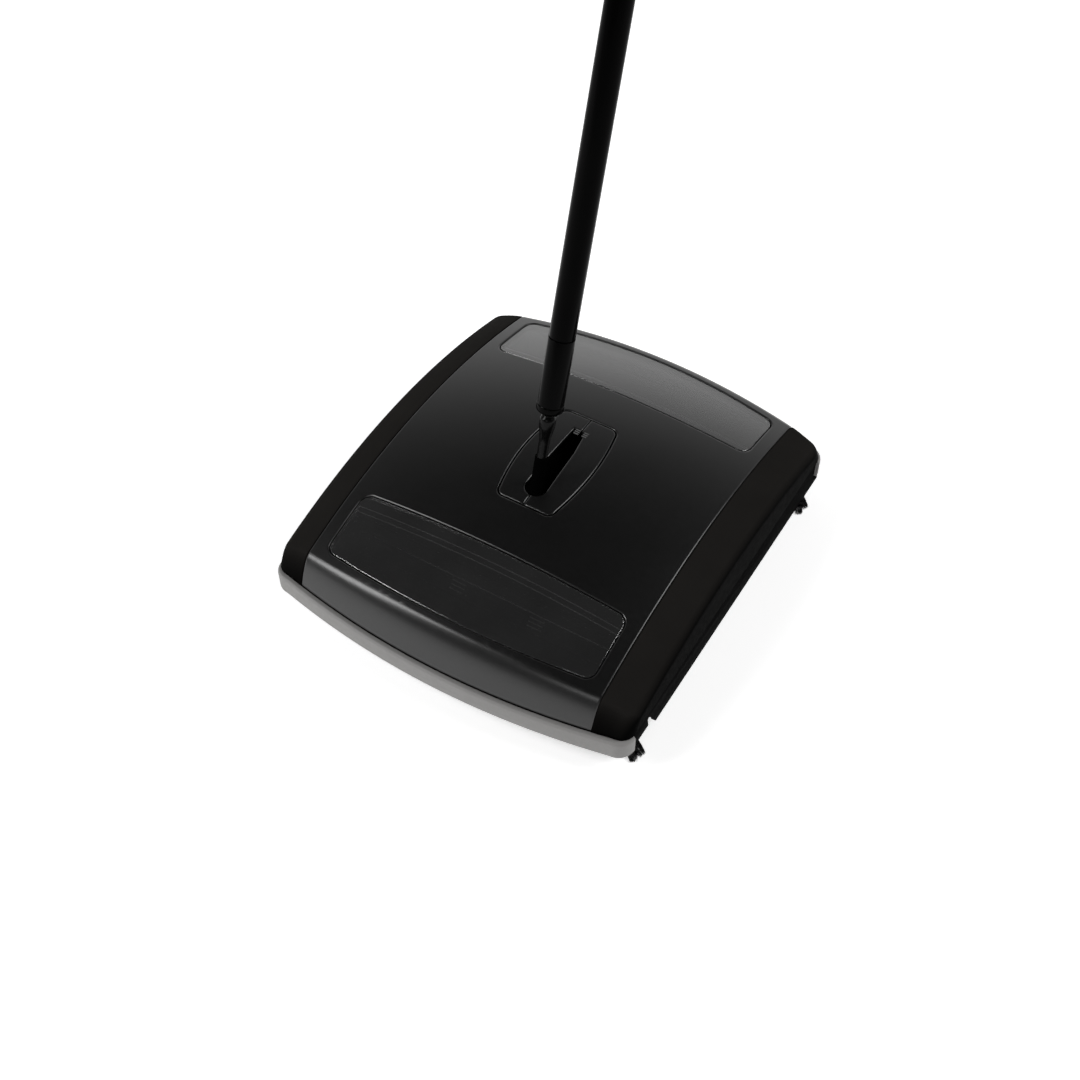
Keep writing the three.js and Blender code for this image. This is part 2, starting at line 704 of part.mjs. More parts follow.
function hangCap(from) {
  const { plug, plugLength, r, rim, halfT, tab, hole } = CAP;
  const bottom = from - plugLength;
  const body = [[0, bottom], [plug, bottom], [plug, from], [r, from], [r, from + rim], [0, from + rim]];
  const eyeZ = HANDLE_LENGTH - r;
  const cap = joined(
    solid(turnedZ(body, 18)),
    block([-halfT, halfT], [-tab, tab], [from + rim - 1, eyeZ]),
    solid(rodX(r, -halfT, halfT, 0, eyeZ, 20)),
  );
  return cut(cap, solid(rodX(hole, -2 * halfT, 2 * halfT, 0, eyeZ)));
}

// ---- Assembly ----

const material = (color, roughness, metalness = 0) =>
  new THREE.MeshStandardMaterial({ color, roughness, metalness });

const MATERIALS = {
  cover: () => material(0x0b0b0c, 0.3),
  cheek: () => material(0x12110f, 0.55),
  lens: () => material(0x1c1d1f, 0.12),
  bumper: () => material(0x8d8b89, 0.65),
  frame: () => material(0x0d0d0d, 0.6),
  steel: () => material(0x9a9c9e, 0.35, 0.9),
  rubber: () => material(0x161616, 0.8),
  wheel: () => material(0x2b2c2e, 0.5),
  pan: () => material(0x1a1a1b, 0.45),
  bristle: () => material(0x080808, 0.7),
  tube: () => material(0x060606, 0.2, 0.1),
  grip: () => material(0x101010, 0.75),
};

const sweeper = new THREE.Group();

function piece(name, shape, finish, place = {}) {
  const geometry = shape.isBufferGeometry ? shape : geometryOf(shape);
  const mesh = new THREE.Mesh(geometry, MATERIALS[finish]());
  mesh.name = name;
  mesh.position.set(place.x ?? 0, place.y ?? 0, place.z ?? 0);
  mesh.rotation.z = place.turn ?? 0;
  (place.group ?? sweeper).add(mesh);
  return mesh;
}

const HALF_TURN = Math.PI;
const ENDS = [['front', -1], ['rear', 1]];
const SIDES = [['left', -1], ['right', 1]];

piece('center_cover', centerCover(), 'cover');
piece('center_bridge', centerBridge(), 'tube');
const pivotPin = rodX(PIVOT_PIN_R, -PIVOT_PIN_HALF, PIVOT_PIN_HALF, PIVOT.y, PIVOT.z, 12);
piece('handle_pivot_pin', pivotPin, 'steel');

for (const [side, s] of SIDES) {
  const turn = s < 0 ? HALF_TURN : 0;
  piece(`${side}_cheek`, cheek(), 'cheek', { turn });
  const frame = s > 0 ? rightFrame() : rightFrame().mirror([1, 0, 0]);
  piece(`${side}_side_frame`, frame, 'frame');
  piece(`${side}_pivot_plate`, pivotPlate(s), 'cover');
}

for (const [end, e] of ENDS) {
  const turn = e < 0 ? HALF_TURN : 0;
  piece(`${end}_window`, windowLens(), 'lens', { turn });
  piece(`${end}_bumper`, bumper(), 'bumper', { turn });
  piece(`${end}_end_rail`, endRail(), 'frame', { turn });
  piece(`${end}_dust_pan`, dustPan(), 'pan', { turn });
  const hinge = { y: PAN_HINGE.y * e, z: PAN_HINGE.z };
  piece(`${end}_pan_pin`, rodX(PAN_PIN_R, -PAN_PIN_HALF, PAN_PIN_HALF, hinge.y, hinge.z, 8), 'steel');
  piece(`${end}_pan_spring`, panSpring(), 'steel', hinge);
  const rotor = { y: ROTOR_Y * e, z: ROTOR_Z };
  piece(`${end}_rotor_shaft`, rodX(SHAFT_R, -SHAFT_HALF, SHAFT_HALF, rotor.y, rotor.z, 12), 'steel');
  piece(`${end}_rotor_blades`, rotorBlades(), 'rubber', rotor);
}

for (const [end, e] of ENDS) {
  for (const [side, s] of SIDES) {
    const turn = s < 0 ? HALF_TURN : 0;
    const rotor = { y: ROTOR_Y * e, z: ROTOR_Z, turn };
    const wheel = { x: WHEEL_X * s, y: WHEEL_Y * e, z: WHEEL_R, turn };
    piece(`${end}_${side}_drive_disc`, driveDisc(), 'wheel', { ...rotor, x: WHEEL_X * s });
    piece(`${end}_${side}_rotor_bush`, rotorBush(), 'wheel', rotor);
    piece(`${end}_${side}_wheel_hub`, wheelHub(), 'wheel', wheel);
    piece(`${end}_${side}_tyre`, tyre(), 'rubber', wheel);
    const axle = rodX(AXLE_R, WALL_X[0] - 0.7, SKIRT_X[0] - GAP, 0, 0, 12);
    piece(`${end}_${side}_wheel_axle`, axle, 'steel', { y: WHEEL_Y * e, z: WHEEL_R, turn });
    const brush = { x: BRUSH_X * s, y: BRUSH_Y * e };
    piece(`${end}_${side}_brush_holder`, brushHolder(), 'frame', brush);
    piece(`${end}_${side}_brush_tuft`, brushTuft(s, e), 'bristle');
  }
}

const handle = new THREE.Group();
handle.position.set(0, PIVOT.y, PIVOT.z);
handle.rotation.x = -LEAN;
sweeper.add(handle);

const TUBES_FROM = FERRULE.to + GAP;
const tubeStart = (i) => TUBES_FROM + i * TUBE_LENGTH;
const TUBES_TO = tubeStart(3) - GAP;
const inHandle = { group: handle };
piece('handle_rod', handleRod(), 'tube', inHandle);
piece('handle_ferrule', ferrule(), 'tube', inHandle);
piece('handle_tube_lower', tube(tubeStart(0), true), 'tube', inHandle);
piece('handle_tube_middle', tube(tubeStart(1), true), 'tube', inHandle);
piece('handle_tube_upper', tube(tubeStart(2), false), 'tube', inHandle);
piece('hand_grip', handGrip(TUBES_TO), 'grip', inHandle);
piece('hang_cap', hangCap(TUBES_TO + GAP), 'frame', inHandle);

export default sweeper;
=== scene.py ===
"""Looks for the carpet sweeper: finer shells, windows, wheels, rotors, bristles and handle over
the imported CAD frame, with a procedural material for every piece, a white floor, soft studio
lights and the camera. Shape dimensions are in millimetres in the frame's own axes (+Z up, -Y the
front) and become metres when a mesh is made."""

import math
import random

import bpy
import numpy as np
from mathutils import Matrix, Vector
from mathutils.geometry import delaunay_2d_cdt


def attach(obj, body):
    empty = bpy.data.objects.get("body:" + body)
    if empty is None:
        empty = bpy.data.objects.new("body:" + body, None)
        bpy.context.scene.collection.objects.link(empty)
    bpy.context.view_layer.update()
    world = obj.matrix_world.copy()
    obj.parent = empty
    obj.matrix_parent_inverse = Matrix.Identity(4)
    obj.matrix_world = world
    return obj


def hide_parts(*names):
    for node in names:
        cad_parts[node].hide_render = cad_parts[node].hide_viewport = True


MM = 0.001
GAP = 0.3

# Body surface, as the CAD makes it
BODY_HALF_WIDTH = 118
SKIN = 2.6
DECK_Z = 73
DECK_DROP = 7.5
DECK_CROWN = 0.00127
SEAM_X = 97
CHEEK_DROP = 8
CHEEK_SLOPE_END = 116.5
CHEEK_ROLL = 5
COVER_BOTTOM = 28.4
FACE_BASE_Z = 29
FACE_SLOPE = 2.77
FACE_ROLL = 13
END_Y = 137
BOW = 1 / 990
CORNER_X = 109
CORNER_R = 9
CORNER_Y = END_Y - CORNER_X**2 * BOW - CORNER_R

WINDOW_HALF_X = 88
WINDOW_INNER_Y = 71
WINDOW_MARGIN = 17
WINDOW_R = 7
LENS_GAP = 0.65
LENS_SET_DOWN = 0.3

PLATE_HALF_Y = 39.5
PLATE_END_X = 18
PLATE_MID_X = 23.3
PLATE_R = 5.5
PLATE_GAP = 0.7
SLOT_GAP = 0.3
SLOT_R = 6.4
SLOT_FRONT = -30.6
SLOT_REAR = 27
SLOT_WAIST = (5, 9)
SLOT_REAR_X = {"left": 4.6, "right": 2.2}

BUMPER_Y = 140
BUMPER_CORNER_X = 108.5
BUMPER_R = 10.5
BUMPER_T = 3.5
BUMPER_Z = (14.5, 28)

WHEEL_R = 17.5
WHEEL_X = 106.5
WHEEL_Y = 68
WHEEL_HALF_W = 5
RIM_R = 14
AXLE_R = 3
AXLE_TO_X = 114.7
ROTOR_Y = 33
ROTOR_Z = 26
DISC_R = 18.2
SHAFT_R = 4
SHAFT_HALF = 113.6
BLADES = 4
BLADE_TIP_R = 25
BLADE_HUB_R = 7
BLADE_HALF = 92.5
BLADE_TWIST = math.pi / 3
BUSH_R = 7
WALL_X = (96, 98.5)

PAN_HINGE = (114, 11)
PAN_PIN_R = 1.5
PAN_PIN_HALF = 98.3
SPRING_HALF = 9
PAN_RAMP = ((62.4, 19.6), (74, 7.2))
PAN_RAMP_HALF_X = 91.6
RAMP_MARK_X = 27
RAMP_MARK_AT = 0.655
RAMP_MARK_STEP = 2.6
RAMP_MARK_HALF_X = 4.8
RAMP_LINE_AT = 0.35

# A black sheet between each rotor and its pan: painted shade where the floor under the body would be in
# shadow
SHADE_SHEET_Y = (58.4, 59.6)
SHADE_SHEET_Z = (19.2, 58)
SHADE_SHEET_HALF_X = 93

BRUSH_X = 110.3
BRUSH_Y = 107
TUFT_TOP = 11.4
TUFT_REACH = {"front": ((10.4, -2.6), (7.9, -9.2)), "rear": ((10.8, -4.7), (9.3, -11.6))}

PIVOT = (0, -27, 62)
LEAN = math.radians(15.8)
ROD_R = 3.15
ROD_THICK_R = 3.6
ROD_TO = 83.6
SLEEVE_BORE = 3.62
SLEEVE_R = 3.75
EYE_R = 5
EYE_HALF = 3.3
PIVOT_PIN_R = 2.4
FERRULE_FROM = 61.3
FERRULE_TO = 109
FERRULE_R = 7.9
TUBE_R = 7.35
TUBE_LENGTH = 310
TUBE_FROM = FERRULE_TO + GAP
TUBES_TO = TUBE_FROM + 3 * TUBE_LENGTH - GAP
GRIP_R = 11.4
RIB_R = 11.5
GROOVE_R = 10.9
GRIP_RIBS = 22
GRIP_FROM_END = 125
GRIP_END_SHOWS = 6

LEAF_BRISTLES = 110
LEAF_DROOP = -6
LEAF_HALF_WIDTH = 3.4
BRISTLE_RADII = [0.2, 0.2, 0.2, 0.2, 0.19, 0.18, 0.17, 0.15, 0.08]

# Two small moulded marks at the slot's rear end, coloured lighter than the black cover as a painted
# highlight
MARK_MIDDLE_X = {"left": -1.9, "right": 3.7}
MARK_ROWS = (23.6, 25.2, 26.8)
MARK_HALF_X = 1.7
MARK_HALF_Y = 0.35
MARK_RISE = 0.2

ENDS = (("front", -1), ("rear", 1))
SIDES = (("left", -1), ("right", 1))
HALF_TURN = Matrix.Rotation(math.pi, 4, "Z")
NO_TURN = Matrix.Identity(4)

# How an edge is rounded: distance in from the edge, and how far the surface has dropped there
EDGE_ROUND = ((0, 0.8), (0.1, 0.48), (0.33, 0.23), (0.68, 0.06), (1.1, 0))
LENS_EDGE = ((0, 0.4), (0.07, 0.23), (0.24, 0.08), (0.5, 0))
LINE_STEP = 3.0


def mix(a, b, t):
    return a + (b - a) * t


# ---- The body's surface ----


def half_depth(x):
    a = abs(x)
    if a <= CORNER_X:
        return END_Y - a * a * BOW
    run = min(a - CORNER_X, CORNER_R)
    return CORNER_Y + math.sqrt(CORNER_R**2 - run**2)


def cheek_drop(x):
    a = abs(x)
    if a <= SEAM_X:
        return 0
    slope = CHEEK_DROP * ((a - SEAM_X) / (CHEEK_SLOPE_END - SEAM_X)) ** 1.4
    run = max(0, a - (BODY_HALF_WIDTH - CHEEK_ROLL))
    return slope + CHEEK_ROLL - math.sqrt(max(0, CHEEK_ROLL**2 - run**2))


def soft_min(a, b, size):
    near = max(size - abs(a - b), 0) / size
    return min(a, b) - near * near * size / 4


def skin_height(x, y):
    across = min(abs(x), SEAM_X) / SEAM_X
    deck = DECK_Z - DECK_DROP * across**2 - DECK_CROWN * y * y - cheek_drop(x)
    face = FACE_BASE_Z + FACE_SLOPE * (half_depth(x) - abs(y))
    return soft_min(deck, face, FACE_ROLL)


def skin_normal(x, y):
    step = 0.05
    dx = (skin_height(x + step, y) - skin_height(x - step, y)) / (2 * step)
    dy = (skin_height(x, y + step) - skin_height(x, y - step)) / (2 * step)
    return Vector((-dx, -dy, 1)).normalized()


# ---- Making objects ----


def new_object(name, verts, faces, material, sharp=35, normals=None):
    mesh = bpy.data.meshes.new(name)
    mesh.from_pydata([Vector(v) * MM for v in verts], [], faces)
    mesh.polygons.foreach_set("use_smooth", [True] * len(mesh.polygons))
    mesh.set_sharp_from_angle(angle=math.radians(sharp))
    if normals:
        mesh.normals_split_custom_set_from_vertices(normals)
    mesh.materials.append(material)
    made = bpy.data.objects.new(name, mesh)
    bpy.context.scene.collection.objects.link(made)
    return made


def moved(matrix, verts):
    return [matrix @ Vector(v) for v in verts]


def turned_round(mesh_data):
    """The same verts, faces and normals, turned half round about Z."""
    verts, faces, normals = mesh_data
    return moved(HALF_TURN, verts), faces, moved(HALF_TURN, normals)


def place(piece, body, slot, *nodes):
    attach(piece, body)
    if nodes:
        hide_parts(*nodes)
    return piece


def flipped(faces):
    """The same faces, turned to look the other way."""
    return [list(reversed(face)) for face in faces]


def merged(*parts):
    """Several (verts, faces) in one mesh."""
    verts, faces = [], []
    for part_verts, part_faces in parts:
        start = len(verts)
        verts += list(part_verts)
        faces += [[i + start for i in face] for face in part_faces]
    return verts, faces


# ---- Panels cut from the body's surface ----


def inset(ring, distance):
    """An anticlockwise ring moved inwards, or outwards for a negative distance."""
    points = [Vector(p) for p in ring]
    result = []
    for i, here in enumerate(points):
        before = (here - points[i - 1]).normalized()
        after = (points[(i + 1) % len(points)] - here).normalized()
        n0 = Vector((-before.y, before.x))
        n1 = Vector((-after.y, after.x))
        result.append(tuple(here + (n0 + n1) * (distance / (1 + n0.dot(n1)))))
    return result


def contains(ring, points):
    """Which of the points lie inside the ring."""
    points = np.asarray(points, float).reshape(-1, 2)
    inside = np.zeros(len(points), bool)
    ends = np.roll(np.asarray(ring, float), -1, axis=0)
    for (x0, y0), (x1, y1) in zip(ring, ends):
        if y0 == y1:
            continue
        crosses = (y0 > points[:, 1]) != (y1 > points[:, 1])
        at = x0 + (points[:, 1] - y0) * (x1 - x0) / (y1 - y0)
        inside ^= crosses & (points[:, 0] < at)
    return inside


def spaced(a, b, step=LINE_STEP):
    """Points from a to b, without b, about a step apart."""
    a, b = Vector(a), Vector(b)
    count = max(1, round((b - a).length / step))
    return [tuple(a.lerp(b, i / count)) for i in range(count)]


def arc(centre, radius, start, stop, steps):
    """Points round a centre, from the start angle to the stop angle, in degrees."""
    made = []
    for i in range(steps + 1):
        turn = math.radians(mix(start, stop, i / steps))
        made.append((centre[0] + radius * math.cos(turn), centre[1] + radius * math.sin(turn)))
    return made


# Distances from the end outline, closest together over the roll
END_ROWS = [0.4, 1.0, 1.6] + [2.2 + 0.45 * i for i in range(24)] + [14, 16, 18.5, 21, 24, 27]


def end_rows(x, step):
    """Y values across the body at x, for the rear half and the front half."""
    depth = half_depth(x)
    rows = [depth - e for e in END_ROWS]
    count = round(rows[-1] / step)
    rows += [rows[-1] * i / count for i in range(count)]
    return rows


def fill_points(step, keep_in, keep_out=()):
    """Loose points over the body, inside one ring and outside the others."""
    points = []
    count = round(BODY_HALF_WIDTH / step)
    for i in range(-count, count + 1):
        x = i * BODY_HALF_WIDTH / count
        rows = end_rows(x, step)
        points += [(x, y) for y in rows] + [(x, -y) for y in rows[:-1]]
    mask = contains(keep_in, points)
    for ring in keep_out:
        mask &= ~contains(ring, points)
    return [p for p, kept in zip(points, mask) if kept]


def edge_slopes(profile):
    """How steeply a rounded edge falls at each step of its profile."""
    slopes = []
    for k in range(len(profile) - 1):
        (d0, drop0), (d1, drop1) = profile[max(k - 1, 0)], profile[k + 1]
        slopes.append((drop0 - drop1) / (d1 - d0))
    return [*slopes, 0]


def edge_rings(ring, inward, profile):
    """Rings of (point, drop, lean) from a rounded edge inwards; the lean tilts the normal out."""
    beyond = inset(ring, -inward)
    outwards = [(Vector(far) - Vector(near)).normalized() for far, near in zip(beyond, ring)]
    made = []
    for (distance, drop), slope in zip(profile, edge_slopes(profile)):
        points = inset(ring, inward * distance)
        made.append([(point, drop, out * slope) for point, out in zip(points, outwards)])
    return made


def panel(outer, holes, step, set_down=0, thickness=SKIN, profile=EDGE_ROUND):
    """A closed sheet over a plan outline with holes: rounded edges, top on the body's surface."""
    rings = edge_rings(outer, 1, profile)
    for hole in holes:
        rings += edge_rings(hole, -1, profile)
    clear = profile[-1][0] + 0.35
    loose = fill_points(step, inset(outer, clear), [inset(hole, -clear) for hole in holes])
    points, drops, leans, edges = [], [], [], []
    for ring in rings:
        first, count = len(points), len(ring)
        edges += [(first + i, first + (i + 1) % count) for i in range(count)]
        for point, drop, lean in ring:
            points.append(point)
            drops.append(drop)
            leans.append(lean.to_3d())
    points += loose
    drops += [0] * len(loose)
    leans += [Vector()] * len(loose)
    found = delaunay_2d_cdt([Vector(p) for p in points], edges, [], 0, 1e-5)
    plan, triangles, origins = found[0], found[2], found[3]
    centres = [(plan[a] + plan[b] + plan[c]) / 3 for a, b, c in triangles]
    mask = contains(outer, centres)
    for hole in holes:
        mask &= ~contains(hole, centres)
    triangles = [t for t, kept in zip(triangles, mask) if kept]
    edge = [(drops[origin[0]], leans[origin[0]]) if origin else (0, Vector()) for origin in origins]
    return sheet(plan, triangles, edge, set_down, thickness)


def sheet(plan, triangles, edge, set_down, thickness):
    used = sorted({i for triangle in triangles for i in triangle})
    index = {old: new for new, old in enumerate(used)}
    top, bottom, normals = [], [], []
    for i in used:
        x, y = plan[i]
        normal = skin_normal(x, y)
        surface = Vector((x, y, skin_height(x, y))) - normal * set_down
        inner = surface - normal * thickness
        inner.z = max(inner.z, COVER_BOTTOM)
        drop, lean = edge[i]
        top.append(surface - normal * drop)
        bottom.append(inner)
        normals.append((normal + lean).normalized())
    upper = [[index[i] for i in triangle] for triangle in triangles]
    count = len(used)
    lower = [[i + count for i in reversed(face)] for face in upper]
    directed = {(f[k], f[(k + 1) % 3]) for f in upper for k in range(3)}
    rim = [(a, b) for a, b in directed if (b, a) not in directed]
    walls = [[b, a, a + count, b + count] for a, b in sorted(rim)]
    return top + bottom, upper + lower + walls, normals + [Vector()] * count


def cover_outline():
    half = SEAM_X - GAP / 2
    columns = round(2 * half / LINE_STEP)
    rear = []
    for i in range(columns + 1):
        x = mix(half, -half, i / columns)
        rear.append((x, half_depth(x)))
    rows = [half_depth(half) - e for e in END_ROWS]
    rows += [y for _, y in spaced((0, rows[-1]), (0, -rows[-1]))[1:]] + [-y for y in reversed(rows)]
    side = [(-half, y) for y in rows]
    half_ring = rear + side
    return half_ring + [(-x, -y) for x, y in half_ring]


def window_outline(grow):
    x = WINDOW_HALF_X + grow
    inner = WINDOW_INNER_Y - grow
    r = WINDOW_R + grow
    outer_y = half_depth(x - r) - WINDOW_MARGIN + grow
    right = arc((x - r, inner + r), r, -90, 0, 8)
    right += spaced((x, inner + r), (x, outer_y - r))[1:]
    right += arc((x - r, outer_y - r), r, 0, 86, 8)
    columns = round((x - r) / LINE_STEP)
    for i in range(1, columns):
        at = mix(x - r, 0, i / columns)
        right.append((at, half_depth(at) - WINDOW_MARGIN + grow))
    outer_middle = [(0, half_depth(0) - WINDOW_MARGIN + grow)]
    left = [(-px, py) for px, py in reversed(right)]
    return right + outer_middle + left + spaced((-(x - r), inner), (x - r, inner))[1:]


def plate_side_x(y):
    return mix(PLATE_MID_X, PLATE_END_X, (y / PLATE_HALF_Y) ** 2)


def plate_half_outline(half_gap):
    """The right plate's outline: its outer edge, then the seam and the slot's edge."""
    top = PLATE_HALF_Y
    corner_x = plate_side_x(top - PLATE_R) - PLATE_R
    side_rows = [mix(-1, 1, i / 24) * (top - PLATE_R) for i in range(25)]
    ring = spaced((half_gap, -top), (corner_x, -top))
    ring += arc((corner_x, -top + PLATE_R), PLATE_R, -90, -10, 6)
    ring += [(plate_side_x(y), y) for y in side_rows]
    ring += arc((corner_x, top - PLATE_R), PLATE_R, 10, 90, 6)
    ring += spaced((corner_x, top), (half_gap, top))[1:]
    ring += spaced((half_gap, top), (half_gap, SLOT_REAR))
    return ring


def slot_edge(half_gap, side):
    """A plate's edge of the slot, as on the right, from the rear end to the round front end."""
    front_centre = SLOT_FRONT + SLOT_R
    rear = (SLOT_REAR_X[side], SLOT_REAR)
    wide = (SLOT_R, front_centre)
    ring = [(half_gap, SLOT_REAR)]
    if side == "right":
        ring += spaced(rear, SLOT_WAIST) + spaced(SLOT_WAIST, wide)
    else:
        ring += spaced(rear, wide)
    stop = math.degrees(math.asin(half_gap / SLOT_R))
    ring += arc((0, front_centre), SLOT_R, 0, -90 + stop, 10)
    ring += spaced(ring[-1], (half_gap, -PLATE_HALF_Y))[1:]
    return ring


def mirrored_x(mesh_data):
    verts, faces, normals = mesh_data
    flip = [Vector((-v[0], v[1], v[2])) for v in verts]
    flip_normals = [Vector((-n[0], n[1], n[2])) for n in normals]
    return flip, flipped(faces), flip_normals


def full_plate_outline():
    half = plate_half_outline(0)
    right = [p for p in half if p[0] > 0.01]
    return right + [(-x, -y) for x, y in right]


# ---- Cheeks: a grid across the slope and down the side wall ----


def cheek_grid():
    seam = SEAM_X + GAP / 2
    roll_from = BODY_HALF_WIDTH - CHEEK_ROLL
    stations = [(seam + d, drop) for d, drop in EDGE_ROUND]
    stations += [(x, 0) for x in np.arange(seam + 2, roll_from, 1.5)]
    for i in range(11):
        stations.append((roll_from + CHEEK_ROLL * math.sin(math.radians(9 * i)), 0))
    depth = half_depth(SEAM_X)
    shares = [1 - e / depth for e in [0] + END_ROWS]
    rest = [shares[-1] * i / 24 for i in range(23, 0, -1)]
    shares = shares + rest + [0]
    shares = shares + [-s for s in reversed(shares[:-1])]
    grid = []
    for x, drop in stations:
        y_at = [s * half_depth(x) for s in shares]
        line = [Vector((x, y, max(skin_height(x, y) - drop, COVER_BOTTOM + 0.2))) for y in y_at]
        grid.append(hem(line))
    edge = grid[-1]
    for share in (0.15, 0.35, 0.6, 0.85, 1):
        grid.append([Vector((p.x, p.y, mix(p.z, COVER_BOTTOM, share))) for p in edge])
    return grid


def hem(line):
    """Adds the short upright rim at both ends of a grid line."""
    first, last = line[0].copy(), line[-1].copy()
    first.z = last.z = COVER_BOTTOM
    return [first, *line, last]


def thickened(grid, thickness):
    """A closed shell: the grid outside, and the same grid moved in along its normals."""
    columns, rows = len(grid), len(grid[0])
    verts = [p for line in grid for p in line]
    inner = []
    for i in range(columns):
        for j in range(rows):
            along = grid[min(i + 1, columns - 1)][j] - grid[max(i - 1, 0)][j]
            across = grid[i][min(j + 1, rows - 1)] - grid[i][max(j - 1, 0)]
            normal = across.cross(along)
            # The hem's folded corners have no usable normal, so they move straight in.
            if normal.length < 1e-9 or normal.x < 0:
                normal = Vector((1, 0, 0))
            moved_in = grid[i][j] - normal.normalized() * thickness
            moved_in.z = max(moved_in.z, COVER_BOTTOM)
            inner.append(moved_in)
    count = len(verts)
    faces = []

    def at(i, j):
        return i * rows + j

    for i in range(columns - 1):
        for j in range(rows - 1):
            quad = [at(i, j), at(i, j + 1), at(i + 1, j + 1), at(i + 1, j)]
            faces.append(quad)
            faces.append([k + count for k in reversed(quad)])
    rim = [at(i, 0) for i in range(columns)]
    rim += [at(columns - 1, j) for j in range(1, rows)]
    rim += [at(i, rows - 1) for i in range(columns - 2, -1, -1)]
    rim += [at(0, j) for j in range(rows - 2, 0, -1)]
    for a, b in zip(rim, rim[1:] + rim[:1]):
        faces.append([a, b, b + count, a + count])
    return verts + inner, faces


# ---- Sweeps and turned shapes ----


def rounded(corners, steps=3):
    """A closed outline with each corner (a, b, radius) softened by a short curve."""
    result = []
    for i, (a, b, radius) in enumerate(corners):
        here = Vector((a, b))
        before = Vector(corners[i - 1][:2]) - here
        after = Vector(corners[(i + 1) % len(corners)][:2]) - here
        reach = min(radius, before.length * 0.45, after.length * 0.45)
        if reach < 0.01:
            result.append(tuple(here))
            continue
        start = here + before.normalized() * reach
        stop = here + after.normalized() * reach
        for k in range(steps + 1):
            t = k / steps
            point = start * (1 - t) ** 2 + here * 2 * t * (1 - t) + stop * t * t
            result.append(tuple(point))
    return result


def ring_faces(rings, size, closed):
    """Quads between rings of points stored one after another."""
    faces = []
    for i in range(rings if closed else rings - 1):
        a, b = i * size, (i + 1) % rings * size
        for j in range(size):
            k = (j + 1) % size
            faces.append([a + j, b + j, b + k, a + k])
    return faces


def lathe(outline, sides=48):
    """Turns a closed (radius, height) outline about Z; the outline runs up the outside."""
    verts = []
    for i in range(sides):
        turn = 2 * math.pi * i / sides
        verts += [(r * math.cos(turn), r * math.sin(turn), h) for r, h in outline]
    return verts, ring_faces(sides, len(outline), True)


def turned(name, corners, matrix, material, sides=48, steps=3):
    verts, faces = lathe(rounded(corners, steps), sides)
    return new_object(name, moved(matrix, verts), faces, material)


def along_x(x, y, z, flip=False):
    turn = Matrix.Rotation(math.radians(-90 if flip else 90), 4, "Y")
    return Matrix.Translation((x, y, z)) @ turn


HANDLE = Matrix.Translation(PIVOT) @ Matrix.Rotation(-LEAN, 4, "X")


def rod(radius, start, stop, edge=0.4):
    """Corners of a solid round bar for turned()."""
    return [(0.01, start, 0), (radius, start, edge), (radius, stop, edge), (0.01, stop, 0)]


# ---- Bumpers ----


def bumper_line(set_in):
    r = BUMPER_R - set_in
    centre_y = BUMPER_Y - BUMPER_CORNER_X**2 * BOW - BUMPER_R
    right = arc((BUMPER_CORNER_X, centre_y), r, 0, 87, 14)
    for i in range(1, 30):
        x = mix(BUMPER_CORNER_X, 0, i / 29)
        right.append((x, BUMPER_Y - set_in - x * x * BOW))
    return right + [(-x, y) for x, y in reversed(right[:-1])]


def bumper():
    low, high = BUMPER_Z
    section = rounded(
        [(0, low, 1.1), (0, high - 1.6, 0.8), (0.9, high, 0.7), (BUMPER_T, high, 0.4), (BUMPER_T, low, 0.4)],
        4,
    )
    lines = [bumper_line(set_in) for set_in, _ in section]
    count = len(lines[0])
    verts = []
    for i in range(count):
        verts += [(line[i][0], line[i][1], z) for line, (_, z) in zip(lines, section)]
    size = len(section)
    faces = ring_faces(count, size, False)
    faces.append(list(range(size)))
    faces.append([(count - 1) * size + j for j in reversed(range(size))])
    return verts, faces


# ---- Rotors, springs and bristles ----


def rotor_blades():
    profile = []
    for i in range(BLADES):
        turn = 2 * math.pi * i / BLADES
        side = [(BLADE_HUB_R, 0.27), (9, 0.15), (13, 0.085), (19, 0.05), (24, 0.036), (BLADE_TIP_R, 0.02)]
        profile += [(r, turn - spread) for r, spread in side]
        profile += [(r, turn + spread) for r, spread in reversed(side)]
        profile += [(BLADE_HUB_R, turn + math.pi / BLADES)]
    stations = 60
    outer, inner = [], []
    for k in range(stations + 1):
        x = mix(-BLADE_HALF, BLADE_HALF, k / stations)
        twist = BLADE_TWIST * x / (2 * BLADE_HALF)
        outer += [(x, r * math.cos(a + twist), r * math.sin(a + twist)) for r, a in profile]
        bore = SHAFT_R + GAP
        inner += [(x, bore * math.cos(a + twist), bore * math.sin(a + twist)) for _, a in profile]
    size = len(profile)
    count = len(outer)
    faces = ring_faces(stations + 1, size, False)
    faces += [[i + count for i in reversed(face)] for face in faces]
    last = stations * size
    for j in range(size):
        k = (j + 1) % size
        faces.append([j, k, k + count, j + count])
        faces.append([last + k, last + j, last + j + count, last + k + count])
    return outer + inner, flipped(faces)


def tube_along(path, radii, sides):
    """A closed tube through the points, with its own radius at each one."""
    verts = []
    side = Vector((0, 0, 1))
    for i, point in enumerate(path):
        along = (path[min(i + 1, len(path) - 1)] - path[max(i - 1, 0)]).normalized()
        if abs(along.dot(side)) > 0.95:
            side = Vector((1, 0, 0))
        u = along.cross(side).normalized()
        v = along.cross(u)
        side = v
        for k in range(sides):
            turn = 2 * math.pi * k / sides
            verts.append(point + (u * math.cos(turn) + v * math.sin(turn)) * radii[i])
    faces = flipped(ring_faces(len(path), sides, False))
    faces.append(list(range(sides)))
    faces.append([(len(path) - 1) * sides + k for k in reversed(range(sides))])
    return verts, flipped(faces)


